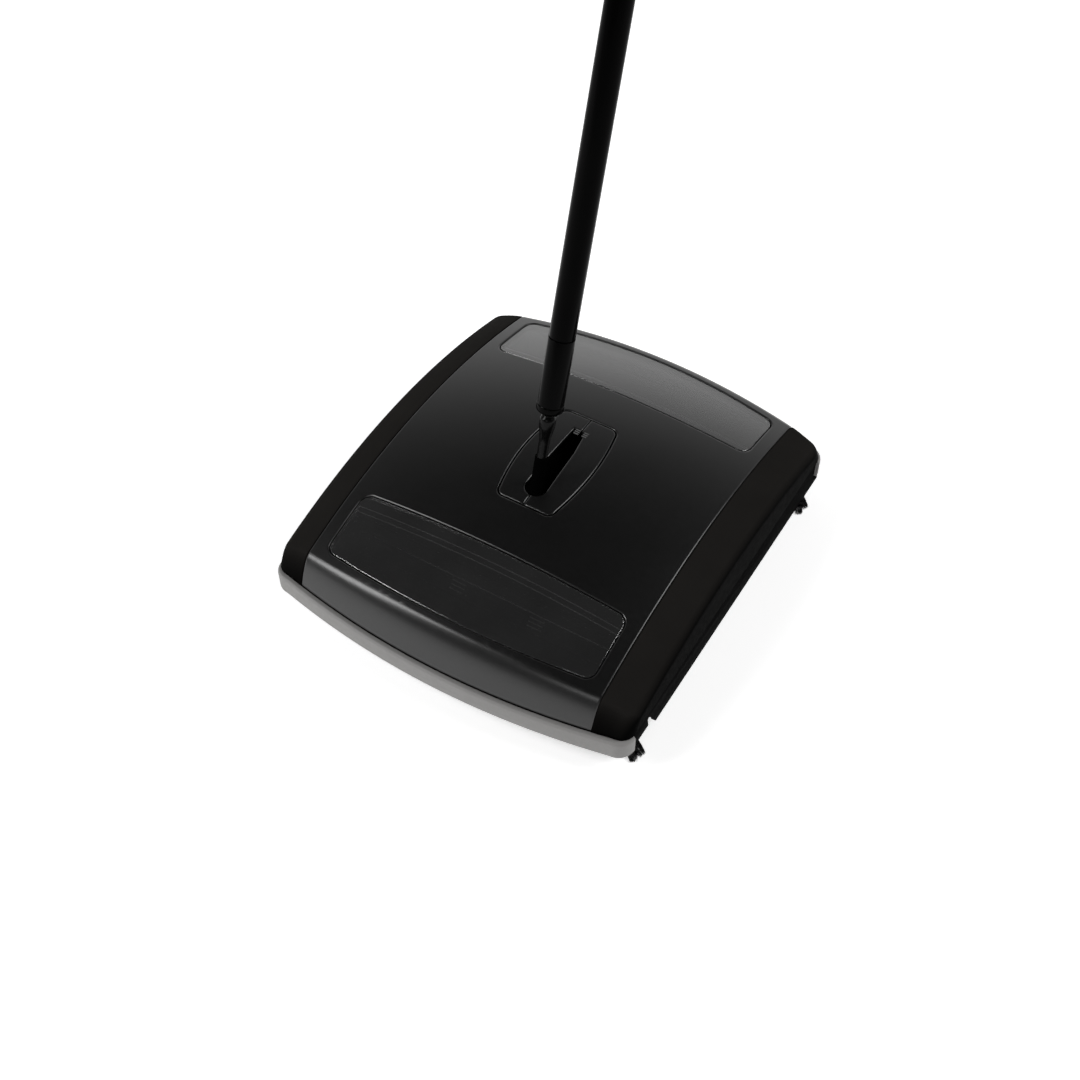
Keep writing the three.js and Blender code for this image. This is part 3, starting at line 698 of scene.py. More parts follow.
def coil_spring(y, z):
    wire = 0.4
    radius = 2.25
    turns = 12
    path = []
    for i in range(turns * 14 + 1):
        t = i / (turns * 14)
        turn = 2 * math.pi * turns * t
        x = mix(-SPRING_HALF + wire, SPRING_HALF - wire, t)
        path.append(Vector((x, y + radius * math.cos(turn), z + radius * math.sin(turn))))
    return tube_along(path, [wire] * len(path), 6)


def tuft(sign_x, sign_y, reaches, seed):
    """Bristles in two leaf-shaped bundles that leave one socket and splay outwards and forwards."""
    chance = random.Random(seed)
    base = Vector((BRUSH_X * sign_x, BRUSH_Y * sign_y, TUFT_TOP))
    parts = []
    for reach_x, reach_y in reaches:
        reach = Vector((reach_x * sign_x, reach_y, 0.4 - TUFT_TOP))
        across = Vector((-reach.y, reach.x, 0)).normalized()
        for _ in range(LEAF_BRISTLES):
            turn = chance.uniform(0, 2 * math.pi)
            out = math.sqrt(chance.random())
            side, up = out * math.cos(turn), out * math.sin(turn)
            length = chance.uniform(0.93, 1.0)
            path = []
            for k in range(9):
                t = k / 8 * length
                along = Vector((0, 0, LEAF_DROOP)) * 2 * t * (1 - t) + reach * t * t
                width = mix(1.2, LEAF_HALF_WIDTH, math.sin(math.pi * min(t * 0.78, 0.78)) ** 2)
                point = base + along + across * side * width
                point.z = max(point.z + up * mix(1.2, 0.8, t), 0.35)
                path.append(point)
            parts.append(tube_along(path, BRISTLE_RADII, 4))
    return merged(*parts)


def bevel(piece, width, segments=2, angle=30):
    modifier = piece.modifiers.new("rounded edges", "BEVEL")
    modifier.width = width * MM
    modifier.segments = segments
    modifier.limit_method = "ANGLE"
    modifier.angle_limit = math.radians(angle)
    modifier.harden_normals = True
    for polygon in piece.data.polygons:
        polygon.use_smooth = True
    return piece


# ---- Materials ----


def start_material(name):
    material = bpy.data.materials.new(name)
    material.use_nodes = True
    tree = material.node_tree
    shader = tree.nodes["Principled BSDF"]
    place_node = tree.nodes.new("ShaderNodeTexCoord")
    return material, tree, shader, place_node.outputs["Object"]


def noise(tree, vector, scale, detail=3):
    node = tree.nodes.new("ShaderNodeTexNoise")
    node.inputs["Scale"].default_value = scale
    node.inputs["Detail"].default_value = detail
    tree.links.new(vector, node.inputs["Vector"])
    return node.outputs["Fac"]


def ranged(tree, value, low, high, from_low=0.3, from_high=0.7):
    node = tree.nodes.new("ShaderNodeMapRange")
    node.inputs["From Min"].default_value = from_low
    node.inputs["From Max"].default_value = from_high
    node.inputs["To Min"].default_value = low
    node.inputs["To Max"].default_value = high
    tree.links.new(value, node.inputs["Value"])
    return node.outputs["Result"]


def blended(tree, share, colour_a, colour_b):
    node = tree.nodes.new("ShaderNodeMix")
    node.data_type = "RGBA"
    node.inputs["A"].default_value = (*colour_a, 1)
    node.inputs["B"].default_value = (*colour_b, 1)
    tree.links.new(share, node.inputs["Factor"])
    return node.outputs["Result"]


def bumped(tree, shader, height, strength, distance, under=None):
    node = tree.nodes.new("ShaderNodeBump")
    node.inputs["Strength"].default_value = strength
    node.inputs["Distance"].default_value = distance * MM
    tree.links.new(height, node.inputs["Height"])
    if under:
        tree.links.new(under, node.inputs["Normal"])
    tree.links.new(node.outputs["Normal"], shader.inputs["Normal"])
    return node.outputs["Normal"]


def surface(name, colours, rough, specular=0.5, metallic=0, grain=(2500, 0.1, 0.02), patches=35,
            coat=0):
    """A solid finish: two close colours in soft patches, uneven gloss, and a fine grain."""
    material, tree, shader, at = start_material(name)
    patch = noise(tree, at, patches, 4)
    wear = noise(tree, at, 420, 6)
    tree.links.new(blended(tree, ranged(tree, patch, 0, 1), *colours), shader.inputs["Base Color"])
    tree.links.new(ranged(tree, wear, *rough), shader.inputs["Roughness"])
    scale, strength, distance = grain
    bumped(tree, shader, noise(tree, at, scale, 2), strength, distance)
    shader.inputs["Metallic"].default_value = metallic
    shader.inputs["Specular IOR Level"].default_value = specular
    shader.inputs["Coat Weight"].default_value = coat
    return material


def grey(value, warm=0.0):
    return (value * (1 + warm), value, value * (1 - warm))


LENS_COVERS = 0.62
LENS_COAT_IOR = 1.75


def lens_material():
    """Smoked plastic: a faint haze, a clear hard gloss, and the inside seen dimly through it."""
    material = surface(
        "smoked_lens", (grey(0.024), grey(0.03)), (0.1, 0.16), 1, grain=(260, 0.02, 0.03), coat=1
    )
    shader = material.node_tree.nodes["Principled BSDF"]
    shader.inputs["Alpha"].default_value = LENS_COVERS
    shader.inputs["Coat IOR"].default_value = LENS_COAT_IOR
    return material


# How far up a surface faces, from a wall painted nearly black as shade to a top in full colour
SHADED_WALL_TO_LIT_TOP = (0.3, 0.75)


def cheek_material_with_painted_shade():
    """Matt side covers whose steep outer walls are painted nearly black: painted shade that deepens as the
    surface turns from facing up to facing sideways.
    """
    material = surface(
        "matt_cheek_painted_wall_shade", (grey(0.012, 0.07), grey(0.014, 0.07)), (0.5, 0.62), 0.003, grain=(1900, 0.35, 0.03)
    )
    tree = material.node_tree
    shader = tree.nodes["Principled BSDF"]
    top = shader.inputs["Base Color"].links[0].from_socket
    # Painted shade: the base colour runs from the top's colour down to near black as the surface turns to
    # face sideways.
    facing = tree.nodes.new("ShaderNodeNewGeometry")
    split = tree.nodes.new("ShaderNodeSeparateXYZ")
    tree.links.new(facing.outputs["Normal"], split.inputs["Vector"])
    lit_share = ranged(tree, split.outputs["Z"], 0, 1, *SHADED_WALL_TO_LIT_TOP)
    wall_shade_mix = blended(tree, lit_share, grey(0.0015), grey(0.013))
    tree.links.new(top, wall_shade_mix.node.inputs["B"])
    tree.links.new(wall_shade_mix, shader.inputs["Base Color"])
    return material


COVER = surface("gloss_cover", (grey(0.003), grey(0.004)), (0.28, 0.32), 0.6, grain=(1500, 0.02, 0.01))
CHEEK = cheek_material_with_painted_shade()
LENS = lens_material()
BUMPER = surface(
    "grey_bumper", (grey(0.215, 0.02), grey(0.23, 0.02)), (0.5, 0.68), 0.35, grain=(1400, 0.2, 0.03)
)
FRAME = surface("black_frame", (grey(0.003), grey(0.005)), (0.45, 0.6), 0.001, grain=(1700, 0.3, 0.03))
STEEL = surface("zinc_steel", (grey(0.42), grey(0.55)), (0.22, 0.38), 0.5, 1, grain=(1200, 0.12, 0.02))
ROD = surface("black_rod", (grey(0.002), grey(0.003)), (0.14, 0.24), 0.1, grain=(900, 0.08, 0.02))
# Near-black and glossless, for the sleeve on the rod's foot: painted shade for the shadow the foot stands in
# down in the slot.
FOOT_SHADE_MATTE = surface("rod_foot_painted_shade", (grey(0.001), grey(0.0015)), (0.6, 0.8), 0, grain=(900, 0.08, 0.02))
BLADE = surface("rotor_rubber", (grey(0.012), grey(0.02)), (0.6, 0.8), 0.3, grain=(1300, 0.4, 0.05))
WHEEL = surface("wheel_plastic", (grey(0.03), grey(0.04)), (0.35, 0.5), 0.4, grain=(1800, 0.25, 0.03))
TYRE = surface("tyre_rubber", (grey(0.014), grey(0.022)), (0.65, 0.85), 0.3, grain=(1100, 0.5, 0.05))
PAN = surface("pan_plastic", (grey(0.02), grey(0.026)), (0.35, 0.5), 0.4, grain=(1500, 0.25, 0.03))
# Near-white colour for the raised pan marks and the ledge's step edges, which are of dark plastic: a painted
# highlight.
PALE_PAN_MARK_HIGHLIGHT = surface("pan_mark_painted_highlight", (grey(0.7), grey(0.78)), (0.5, 0.6), 0.4)
# Light grey for marks moulded in the black cover plastic: a painted highlight.
PALE_SLOT_MARK_HIGHLIGHT = surface("moulded_mark_painted_highlight", (grey(0.09), grey(0.11)), (0.4, 0.5), 0.4)
BRISTLE = surface(
    "nylon_bristle", (grey(0.003), grey(0.02)), (0.35, 0.6), 0.4, patches=900, grain=(3000, 0.1, 0.02)
)
TUBE = surface("painted_tube", (grey(0.0006), grey(0.0009)), (0.1, 0.14), 0.02, grain=(1500, 0.05, 0.02))
FERRULE = surface(
    "ferrule_plastic", (grey(0.0006), grey(0.0009)), (0.12, 0.18), 0.03, grain=(2200, 0.1, 0.02)
)
GRIP = surface("grip_rubber", (grey(0.01), grey(0.016)), (0.6, 0.75), 0.3, grain=(1500, 0.5, 0.05))

# ---- Shells, plates and windows ----


def make_cover():
    rear_window = window_outline(0)
    front_window = [(-x, -y) for x, y in rear_window]
    plate = full_plate_outline()
    verts, faces, normals = panel(cover_outline(), [rear_window, front_window, plate], 5)
    made = new_object("cover_shell", verts, faces, COVER, normals=normals)
    place(made, "body", "cover_plastic", "center_cover")


def make_lenses():
    shape = window_outline(-LENS_GAP)
    rear = panel(shape, [], 5, LENS_SET_DOWN, SKIN - LENS_SET_DOWN, LENS_EDGE)
    front = turned_round(rear)
    for (end, _), (verts, faces, normals) in zip(ENDS, (front, rear)):
        made = new_object(f"{end}_lens", verts, faces, LENS, normals=normals)
        place(made, "body", "window_lens", f"{end}_window")


def make_plates():
    half_gap = GAP / 2
    outside = plate_half_outline(half_gap)
    for side, sign in SIDES:
        ring = outside + slot_edge(half_gap, side)
        shape = inset(ring, PLATE_GAP)[: len(outside)] + inset(ring, SLOT_GAP)[len(outside) :]
        shape = [(half_gap if x < half_gap + PLATE_GAP + 0.05 else x, y) for x, y in shape]
        made = panel(shape, [], 3)
        verts, faces, normals = mirrored_x(made) if sign < 0 else made
        shell = new_object(f"{side}_plate_shell", verts, faces, COVER, normals=normals)
        place(shell, "body", "cover_plastic", f"{side}_pivot_plate")


def make_slot_marks():
    """Two small raised marks of three bars each, beside the plates' seam at the slot's rear end, coloured
    light grey as a painted highlight.
    """
    for side, sign in SIDES:
        middle = MARK_MIDDLE_X[side]
        parts = []
        for y in MARK_ROWS:
            corners = []
            for x in (middle - MARK_HALF_X, middle + MARK_HALF_X):
                for dy in (-MARK_HALF_Y, MARK_HALF_Y):
                    corners.append((x, y + dy, skin_height(x, y + dy)))
            low = [(x, y, z - 0.3) for x, y, z in corners]
            high = [(mix(x, middle, 0.15), y, z + MARK_RISE) for x, y, z in corners]
            faces = [[0, 2, 3, 1], [4, 5, 7, 6], [0, 1, 5, 4], [2, 6, 7, 3], [0, 4, 6, 2], [1, 3, 7, 5]]
            parts.append((low + high, faces))
        verts, faces = merged(*parts)
        made = new_object(f"{side}_plate_mark", verts, faces, PALE_SLOT_MARK_HIGHLIGHT)
        place(made, "body", "cover_plastic")


def make_cheeks():
    verts, faces = thickened(cheek_grid(), SKIN)
    for side, sign in SIDES:
        at = moved(HALF_TURN, verts) if sign < 0 else verts
        made = new_object(f"{side}_cheek_shell", at, flipped(faces), CHEEK, sharp=50)
        place(made, "body", "cheek_plastic", f"{side}_cheek")


def make_bumpers():
    verts, faces = bumper()
    for end, sign in ENDS:
        at = moved(HALF_TURN, verts) if sign < 0 else verts
        made = new_object(f"{end}_bumper_strip", at, faces, BUMPER)
        place(made, "body", "bumper_rubber", f"{end}_bumper")


# ---- Wheels, rotors, springs and brushes ----


def make_wheel(end, side, x, y):
    w = WHEEL_HALF_W
    body = f"{end}_{side}_wheel"
    at = along_x(x, y, WHEEL_R, flip=x < 0)
    inner = RIM_R + GAP
    tyre = [(inner, -w, 0.2), (16.4, -w, 0.3), (17.1, -w + 0.5, 0.5), (WHEEL_R, -w + 1.6, 0.6)]
    for i in range(5):
        centre = mix(-w + 2.4, w - 2.4, i / 4)
        tyre += [(WHEEL_R, centre - 0.55, 0.15), (WHEEL_R - 0.5, centre - 0.3, 0.1)]
        tyre += [(WHEEL_R - 0.5, centre + 0.3, 0.1), (WHEEL_R, centre + 0.55, 0.15)]
    tyre += [(WHEEL_R, w - 1.6, 0.6), (17.1, w - 0.5, 0.5), (16.4, w, 0.3), (inner, w, 0.2)]
    made = turned(f"{body}_tread", tyre, at, TYRE, 64)
    place(made, body, "tyre_rubber", f"{end}_{side}_tyre")
    w += GAP
    bore = AXLE_R + GAP
    hub = [(bore, -w, 0.2), (RIM_R, -w, 0.5), (RIM_R, w, 0.5), (12.4, w, 0.4), (11.6, 2.4, 0.6)]
    hub += [(6.4, 2, 0.4), (5.8, w - 0.6, 0.4), (bore, w - 0.6, 0.2)]
    made = turned(f"{body}_core", hub, at, WHEEL, 56)
    place(made, body, "wheel_plastic", f"{end}_{side}_wheel_hub")


def make_axle(end, side, x, y):
    inner, outer = WALL_X[0] - 0.7, AXLE_TO_X
    centre = math.copysign((inner + outer) / 2, x)
    half = (outer - inner) / 2
    made = turned(f"{end}_{side}_axle_pin", rod(AXLE_R, -half, half), along_x(centre, y, WHEEL_R), STEEL, 32)
    place(made, "body", "bridge_steel", f"{end}_{side}_wheel_axle")


def make_disc(end, side, x, y):
    w = WHEEL_HALF_W
    bore = SHAFT_R + GAP
    ring = [(bore, -w, 0.2), (DISC_R, -w, 0.5), (DISC_R, w, 0.5), (15, w, 0.4), (13, 2, 0.8)]
    ring += [(7.5, 1.6, 0.4), (7, w - 1, 0.4), (bore, w - 1, 0.2)]
    made = turned(f"{end}_{side}_disc", ring, along_x(x, y, ROTOR_Z, flip=x < 0), WHEEL, 64)
    place(made, f"{end}_rotor", "wheel_plastic", f"{end}_{side}_drive_disc")


def make_bush(end, side, sign, y):
    w0, w1 = WALL_X
    bore = SHAFT_R + GAP
    ring = [(bore, w0 - 1, 0.2), (BUSH_R, w0 - 1, 0.4), (BUSH_R, w1 + 0.3, 0), (9, w1 + 0.3, 0.3)]
    ring += [(9, w1 + 1.6, 0.4), (bore, w1 + 1.6, 0.3)]
    made = turned(f"{end}_{side}_bearing", ring, along_x(0, y, ROTOR_Z, flip=sign < 0), WHEEL, 40)
    place(made, "body", "wheel_plastic", f"{end}_{side}_rotor_bush")


def make_rotor(end, y):
    at = along_x(0, y, ROTOR_Z)
    shaft = turned(f"{end}_shaft_bar", rod(SHAFT_R, -SHAFT_HALF, SHAFT_HALF, 0.7), at, STEEL, 32)
    place(shaft, f"{end}_rotor", "bridge_steel", f"{end}_rotor_shaft")
    verts, faces = rotor_blades()
    shift = Matrix.Translation((0, y, ROTOR_Z))
    blades = new_object(f"{end}_blade_rubber", moved(shift, verts), faces, BLADE)
    place(blades, f"{end}_rotor", "rotor_rubber", f"{end}_rotor_blades")


def make_pan_fittings(end, sign):
    y, z = PAN_HINGE[0] * sign, PAN_HINGE[1]
    half = PAN_PIN_HALF
    pin = turned(f"{end}_hinge_pin", rod(PAN_PIN_R, -half, half), along_x(0, y, z), STEEL, 20)
    place(pin, "body", "bridge_steel", f"{end}_pan_pin")
    spring = new_object(f"{end}_coil_spring", *coil_spring(y, z), STEEL)
    place(spring, "body", "bridge_steel", f"{end}_pan_spring")


def make_brush(end, side, sign_x, sign_y, seed):
    x, y = BRUSH_X * sign_x, BRUSH_Y * sign_y
    socket = [(2.6, 5.2, 0.3), (4.2, 5.2, 0.5), (4.2, 8.7, 0.3), (3, 8.7, 0), (3, 15, 0.4)]
    socket += [(0.01, 15, 0), (0.01, 12, 0), (2.6, 12, 0)]
    made = turned(f"{end}_{side}_socket", socket, Matrix.Translation((x, y, 0)), FRAME, 32)
    place(made, "body", "frame_plastic", f"{end}_{side}_brush_holder")
    verts, faces = tuft(sign_x, sign_y, TUFT_REACH[end], seed)
    made = new_object(f"{end}_{side}_bristles", verts, faces, BRISTLE, sharp=80)
    place(made, "body", "bristle", f"{end}_{side}_brush_tuft")


def make_running_gear():
    for e, (end, sign_y) in enumerate(ENDS):
        make_rotor(end, ROTOR_Y * sign_y)
        make_pan_fittings(end, sign_y)
        for s, (side, sign_x) in enumerate(SIDES):
            x = WHEEL_X * sign_x
            make_wheel(end, side, x, WHEEL_Y * sign_y)
            make_axle(end, side, x, WHEEL_Y * sign_y)
            make_disc(end, side, x, ROTOR_Y * sign_y)
            make_bush(end, side, sign_x, ROTOR_Y * sign_y)
            make_brush(end, side, sign_x, sign_y, 7 + 2 * e + s)


# ---- Handle ----


def make_rod():
    bore = PIVOT_PIN_R + GAP
    half = EYE_HALF
    ring = [(bore, -half, 0.2), (EYE_R, -half, 0.5), (EYE_R, half, 0.5), (bore, half, 0.2)]
    verts, faces = lathe(rounded(ring), 40)
    eye = (moved(Matrix.Rotation(math.pi / 2, 4, "Y"), verts), faces)
    stem = [(0.01, 4.6, 0), (ROD_R, 4.6, 0), (ROD_R, 11, 0.6), (ROD_THICK_R, 12.5, 0.8)]
    stem += [(ROD_THICK_R, 29, 0.8), (ROD_R, 31, 0.6)]
    stem += [(ROD_R, 44, 2), (4.7, 52, 2.5), (4.7, 57.5, 1), (ROD_R, 59.5, 0.3)]
    stem += [(ROD_R, ROD_TO, 0.5), (0.01, ROD_TO, 0)]
    verts, faces = merged(eye, lathe(rounded(stem), 40))
    made = new_object("black_rod_bar", moved(HANDLE, verts), faces, ROD)
    place(made, "handle", "handle_rod", "handle_rod")
    # A matt black sleeve on the rod's foot: painted shade that hides its highlights where it stands in the
    # slot's shadow.
    sleeve = [(SLEEVE_BORE, 8, 0.1), (SLEEVE_R, 9, 0.1), (SLEEVE_R, 30, 0.1), (SLEEVE_BORE, 31.5, 0.1)]
    made = turned("rod_foot_shade_sleeve", sleeve, HANDLE, FOOT_SHADE_MATTE, 40)
    place(made, "handle", "handle_rod")


def make_ferrule():
    r = FERRULE_R
    start = FERRULE_FROM
    bore = ROD_R + GAP
    corners = [(bore, start, 0.2), (r - 2.2, start, 0.6), (r, start + 2.2, 0.5), (r, start + 5.4, 0.3)]
    corners += [(r - 0.35, start + 5.9, 0.2), (r - 0.35, FERRULE_TO, 0.3), (6, FERRULE_TO, 0.2)]
    corners += [(6, FERRULE_TO + 20, 0.3), (4.8, FERRULE_TO + 22, 0.2), (bore, FERRULE_TO + 22, 0.2)]
    made = turned("ferrule_collar", corners, HANDLE, FERRULE, 64)
    place(made, "handle", "ferrule_plastic", "handle_ferrule")


def make_tubes():
    names = ("lower", "middle", "upper")
    for i, which in enumerate(names):
        start = TUBE_FROM + i * TUBE_LENGTH
        stop = start + TUBE_LENGTH - GAP
        bore = TUBE_R - 1
        corners = [(bore, start, 0.1), (TUBE_R, start, 0.35)]
        if which == "upper":
            corners += [(TUBE_R, stop, 0.3), (bore, stop, 0.1)]
        else:
            corners += [(TUBE_R, stop, 0.35), (6, stop, 0.1), (6, stop + 24, 0.3)]
            corners += [(5, stop + 24, 0.2), (5, stop - 3, 0.2), (bore, stop - 5, 0.2)]
        made = turned(f"tube_{which}", corners, HANDLE, TUBE, 64)
        place(made, "handle", "handle_tube", f"handle_tube_{which}")


def make_grip():
    start, stop = TUBES_TO - GRIP_FROM_END, TUBES_TO - GRIP_END_SHOWS
    bore = TUBE_R + GAP
    corners = [(bore, start, 0.3), (10, start, 0.8), (GRIP_R, start + 3, 0.8), (GRIP_R, start + 9, 0.4)]
    for i in range(GRIP_RIBS):
        at = mix(start + 12, stop - 14, i / (GRIP_RIBS - 1))
        corners += [(GROOVE_R, at - 1.5, 0.4), (RIB_R, at - 0.8, 0.4)]
        corners += [(RIB_R, at + 0.8, 0.4), (GROOVE_R, at + 1.5, 0.4)]
    corners += [(GRIP_R, stop - 9, 0.4), (GRIP_R, stop - 4, 0.8), (9, stop, 0.8), (bore, stop, 0.3)]
    made = turned("ribbed_grip", corners, HANDLE, GRIP, 48)
    place(made, "handle", "grip_rubber", "hand_grip")


# ---- Smaller fittings that the CAD doesn't need ----


def swept_under_window(section):
    """A closed (y, depth below the surface) section run along a window, as at the rear."""
    columns = 60
    half = WINDOW_HALF_X - 0.5
    verts = []
    for i in range(columns + 1):
        x = mix(-half, half, i / columns)
        verts += [(x, y, skin_height(x, y) - depth) for y, depth in section]
    size = len(section)
    faces = ring_faces(columns + 1, size, False)
    faces.append(list(range(size)))
    faces.append([columns * size + j for j in reversed(range(size))])
    return verts, flipped(faces)


def make_window_ledge(end, sign):
    """The stepped ledge under a window's inner edge, and near-white strips along the edges of its steps that
    are painted highlights.
    """
    turn = HALF_TURN if sign < 0 else NO_TURN
    step = [(68.4, 3), (78, 3), (78.3, 3.3), (78.3, 4.4)]
    step += [(80.6, 4.4), (80.9, 4.7), (80.9, 5.6), (68.4, 5.6)]
    verts, faces = swept_under_window(step)
    made = new_object(f"{end}_window_ledge", moved(turn, verts), faces, PAN, sharp=30)
    place(made, "body", "cover_plastic")
    # The strips along the step edges are a painted highlight.
    rims = []
    for y, depth in ((78.2, 3.0), (80.8, 4.4)):
        y0, y1, top, foot = y - 0.25, y + 0.25, depth - 0.12, depth + 0.3
        rim = [(y0, top), (y1, top), (y1, foot), (y0, foot)]
        rims.append(swept_under_window(rim))
    verts, faces = merged(*rims)
    made = new_object(f"{end}_ledge_highlight_strips", moved(turn, verts), faces, PALE_PAN_MARK_HIGHLIGHT)
    place(made, "body", "cover_plastic")


def make_rotor_shade_sheet(end, sign):
    """A black sheet between a rotor and the pan, from under the deck to just below the lip's top: painted
    shade that hides the bright floor where it would lie in the body's shadow.
    """
    (y0, y1), (z0, z1), half = SHADE_SHEET_Y, SHADE_SHEET_Z, SHADE_SHEET_HALF_X
    section = [(y0, z0), (y1, z0), (y1, z1), (y0, z1)]
    verts = [(x, y * sign, z) for x in (-half, half) for y, z in section]
    faces = ring_faces(2, 4, False) + [[3, 2, 1, 0], [4, 5, 6, 7]]
    if sign > 0:
        faces = flipped(faces)
    shade_sheet = new_object(f"{end}_rotor_shade_sheet", verts, faces, FRAME)
    place(shade_sheet, "body", "frame_plastic")


def make_pan_ramp(end, sign):
    """The ramp behind the pan's inner lip, with two sets of three short raised marks and a line, coloured
    near white as painted highlights.
    """
    (y0, z0), (y1, z1) = PAN_RAMP
    half = PAN_RAMP_HALF_X
    section = [(y0, z0), (y1, z1), (y0, z1)]
    verts = [(x, y, z) for x in (-half, half) for y, z in section]
    faces = [[0, 1, 2], [5, 4, 3], [0, 3, 4, 1], [1, 4, 5, 2], [2, 5, 3, 0]]
    turn = HALF_TURN if sign < 0 else NO_TURN
    ramp = new_object(f"{end}_pan_ramp", moved(turn, verts), faces, PAN)
    place(ramp, f"{end}_pan", "pan_plastic")
    slope = Vector((0, y1 - y0, z1 - z0)).normalized()
    out = Vector((0, -slope.z, slope.y))
    parts = []
    top, foot = Vector((0, y0, z0)), Vector((0, y1, z1))
    for x in (-RAMP_MARK_X, RAMP_MARK_X):
        for k in (-1, 0, 1):
            middle = Vector((x, 0, 0)) + top.lerp(foot, RAMP_MARK_AT) + slope * RAMP_MARK_STEP * k
            parts.append(ridge(middle, slope, out, RAMP_MARK_HALF_X))
    parts.append(ridge(top.lerp(foot, RAMP_LINE_AT), slope, out, half - 2))
    verts, faces = merged(*parts)
    # The raised bars are coloured near white: a painted highlight.
    marks = new_object(f"{end}_pan_marks", moved(turn, verts), faces, PALE_PAN_MARK_HIGHLIGHT)
    place(marks, f"{end}_pan", "pan_plastic")


def ridge(middle, slope, out, half_length):
    """A low bar along X with sloping sides, standing on a slope."""
    half_width, rise, sunk = 0.5, 0.45, -0.05
    section = [(-half_width, sunk), (-half_width / 2, rise), (half_width / 2, rise), (half_width, sunk)]
    verts = []
    for along in (-half_length, half_length):
        for across, height in section:
            verts.append(middle + Vector((along, 0, 0)) + slope * across + out * height)
    faces = [[0, 1, 5, 4], [1, 2, 6, 5], [2, 3, 7, 6], [3, 0, 4, 7], [0, 3, 2, 1], [4, 5, 6, 7]]
    return verts, faces


# ---- CAD nodes that keep their own mesh ----


def dress_cad_nodes(nodes):
    kept = {
        "center_bridge": (ROD, 0.4),
        "handle_pivot_pin": (STEEL, 0.3),
        "left_side_frame": (FRAME, 0.5),
        "right_side_frame": (FRAME, 0.5),
        "front_end_rail": (FRAME, 0.5),
        "rear_end_rail": (FRAME, 0.5),
        "front_dust_pan": (PAN, 0.5),
        "rear_dust_pan": (PAN, 0.5),
        "hang_cap": (FRAME, 0.8),
    }
    for name, (material, width) in kept.items():
        node = nodes[name]
        node.data.materials.clear()
        node.data.materials.append(material)
        weld = node.modifiers.new("weld", "WELD")
        weld.merge_threshold = 0.005 * MM
        bevel(node, width)


# ---- Stage, lights and camera ----

FLOOR_HALF = 9  # metres, like the lights and the camera
# How bright the sky is at heights from level (0) to overhead (1)
SKY = ((0.0, 0.75), (0.3, 0.62), (0.62, 0.15), (0.8, 0.02))
GLOW = (0.3, 1.5)
FLOOR_GLOW = 0.53
GLOW_DIRECTION = (-0.5, 0.85, 0.1)
GLOW_SPREAD = (0.1, 0.98)


def make_floor():
    mesh = bpy.data.meshes.new("floor")
    size = FLOOR_HALF
    corners = [(-size, -size, 0), (size, -size, 0), (size, size, 0), (-size, size, 0)]
    mesh.from_pydata(corners, [], [(0, 1, 2, 3)])
    floor = bpy.data.objects.new("floor", mesh)
    bpy.context.scene.collection.objects.link(floor)
    material, tree, shader, at = start_material("white_floor")
    shader.inputs["Roughness"].default_value = 0.9
    shader.inputs["Specular IOR Level"].default_value = 0.1
    shader.inputs["Emission Color"].default_value = (1, 1, 1, 1)
    shader.inputs["Emission Strength"].default_value = FLOOR_GLOW
    colour = blended(tree, noise(tree, at, 3), grey(0.92), grey(0.95))
    tree.links.new(colour, shader.inputs["Base Color"])
    mesh.materials.append(material)


def softbox(name, place_at, aim, size, power):
    light = bpy.data.lights.new(name, "AREA")
    light.shape = "RECTANGLE"
    light.size, light.size_y = size
    light.energy = power
    made = bpy.data.objects.new(name, light)
    made.location = place_at
    made.rotation_euler = (Vector(aim) - Vector(place_at)).to_track_quat("-Z", "Y").to_euler()
    bpy.context.scene.collection.objects.link(made)
    return made


def make_world():
    """A room that is white near the horizon and dark above, with a low glow behind the object."""
    world = bpy.data.worlds.new("studio")
    bpy.context.scene.world = world
    world.use_nodes = True
    tree = world.node_tree
    towards = tree.nodes.new("ShaderNodeTexCoord").outputs["Generated"]
    ramp = tree.nodes.new("ShaderNodeValToRGB")
    stops = ramp.color_ramp.elements
    stops[0].position, stops[0].color = SKY[0][0], (*grey(SKY[0][1]), 1)
    stops[1].position, stops[1].color = SKY[-1][0], (*grey(SKY[-1][1]), 1)
    for position, value in SKY[1:-1]:
        stops.new(position).color = (*grey(value), 1)
    split = tree.nodes.new("ShaderNodeSeparateXYZ")
    tree.links.new(towards, split.inputs["Vector"])
    tree.links.new(split.outputs["Z"], ramp.inputs["Fac"])
    facing = tree.nodes.new("ShaderNodeVectorMath")
    facing.operation = "DOT_PRODUCT"
    facing.inputs[1].default_value = Vector(GLOW_DIRECTION).normalized()
    tree.links.new(towards, facing.inputs[0])
    glow = ranged(tree, facing.outputs["Value"], *GLOW, *GLOW_SPREAD)
    background = tree.nodes["Background"]
    tree.links.new(ramp.outputs["Color"], background.inputs["Color"])
    tree.links.new(glow, background.inputs["Strength"])


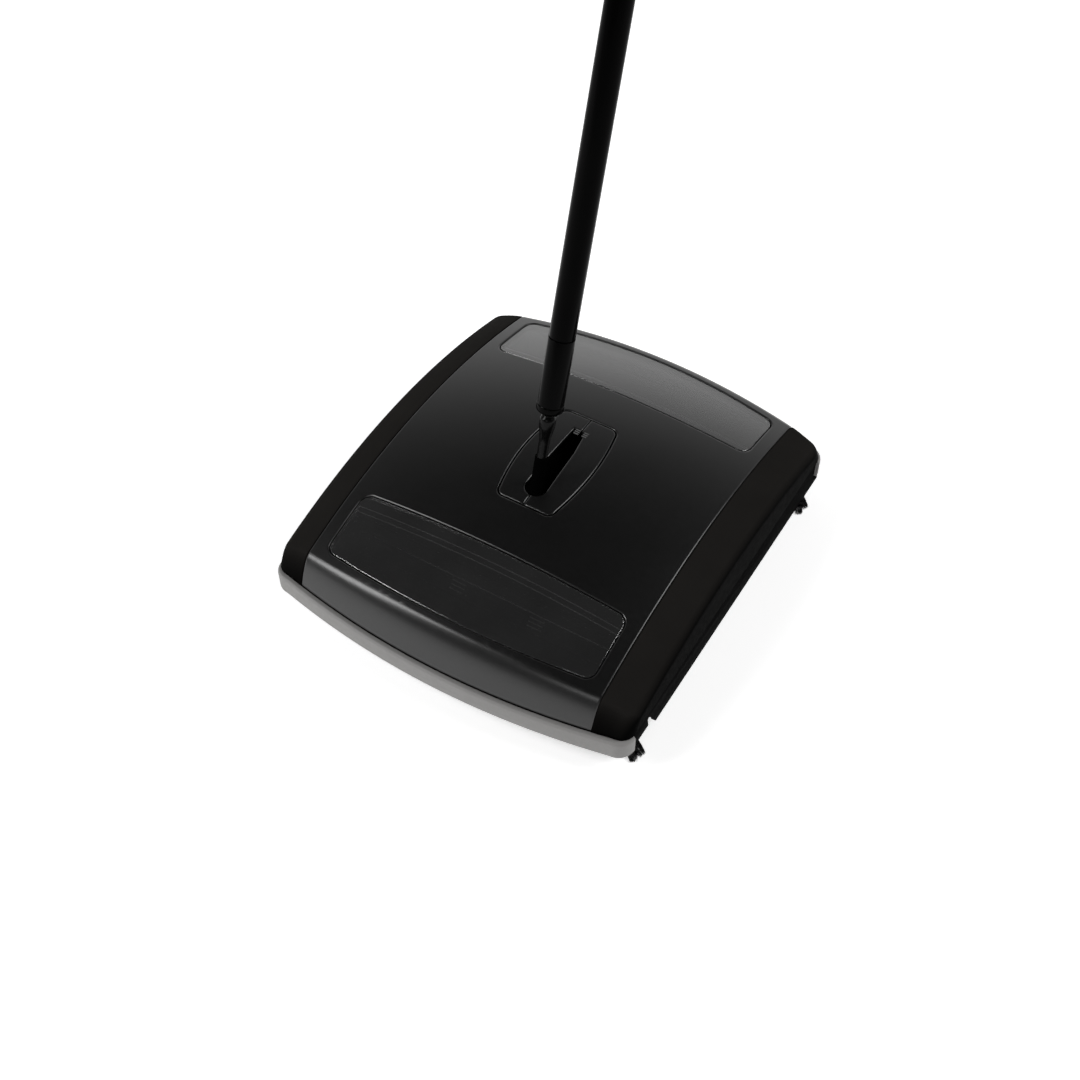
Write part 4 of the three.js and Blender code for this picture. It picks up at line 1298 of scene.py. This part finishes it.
def make_lights():
    middle = (0, 0, 0.05)
    softbox("key_front_left", (-1.15, -1.05, 1.25), middle, (0.6, 1.25), 23)
    softbox("fill_front", (0.35, -1.7, 1.25), middle, (0.6, 0.6), 3)
    softbox("right_rear", (1.5, 0.9, 1.7), middle, (1.3, 1.3), 30)


CAMERA_AT = (0.3132, -0.5389, 0.7448)
CAMERA_AZIMUTH = math.radians(31.13)
CAMERA_ELEVATION = math.radians(50.10)
CAMERA_LENS = 52.43
CAMERA_SENSOR = 36


def make_camera():
    level = math.cos(CAMERA_ELEVATION)
    back = Vector(
        (
            math.sin(CAMERA_AZIMUTH) * level,
            -math.cos(CAMERA_AZIMUTH) * level,
            math.sin(CAMERA_ELEVATION),
        )
    )
    data = bpy.data.cameras.new("camera")
    data.sensor_width = CAMERA_SENSOR
    data.lens = CAMERA_LENS
    data.clip_start, data.clip_end = 0.01, 50
    camera = bpy.data.objects.new("camera", data)
    camera.location = CAMERA_AT
    camera.rotation_mode = "QUATERNION"
    camera.rotation_quaternion = (-back).to_track_quat("-Z", "Y")
    bpy.context.scene.collection.objects.link(camera)
    bpy.context.scene.camera = camera


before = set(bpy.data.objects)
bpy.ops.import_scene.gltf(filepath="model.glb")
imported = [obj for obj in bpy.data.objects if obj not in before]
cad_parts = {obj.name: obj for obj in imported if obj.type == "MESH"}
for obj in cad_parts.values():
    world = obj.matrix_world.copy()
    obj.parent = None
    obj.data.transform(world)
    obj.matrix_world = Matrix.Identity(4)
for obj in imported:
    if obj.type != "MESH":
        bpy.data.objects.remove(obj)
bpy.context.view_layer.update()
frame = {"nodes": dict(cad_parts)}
make_camera()
make_world()
make_lights()
make_floor()
dress_cad_nodes(frame["nodes"])
make_cover()
make_lenses()
make_plates()
make_slot_marks()
make_cheeks()
make_bumpers()
make_running_gear()
make_rod()
make_ferrule()
make_tubes()
make_grip()
for end, sign in ENDS:
    make_window_ledge(end, sign)
    make_rotor_shade_sheet(end, sign)
    make_pan_ramp(end, sign)
view_settings = bpy.context.scene.view_settings
view_settings.view_transform = "Standard"
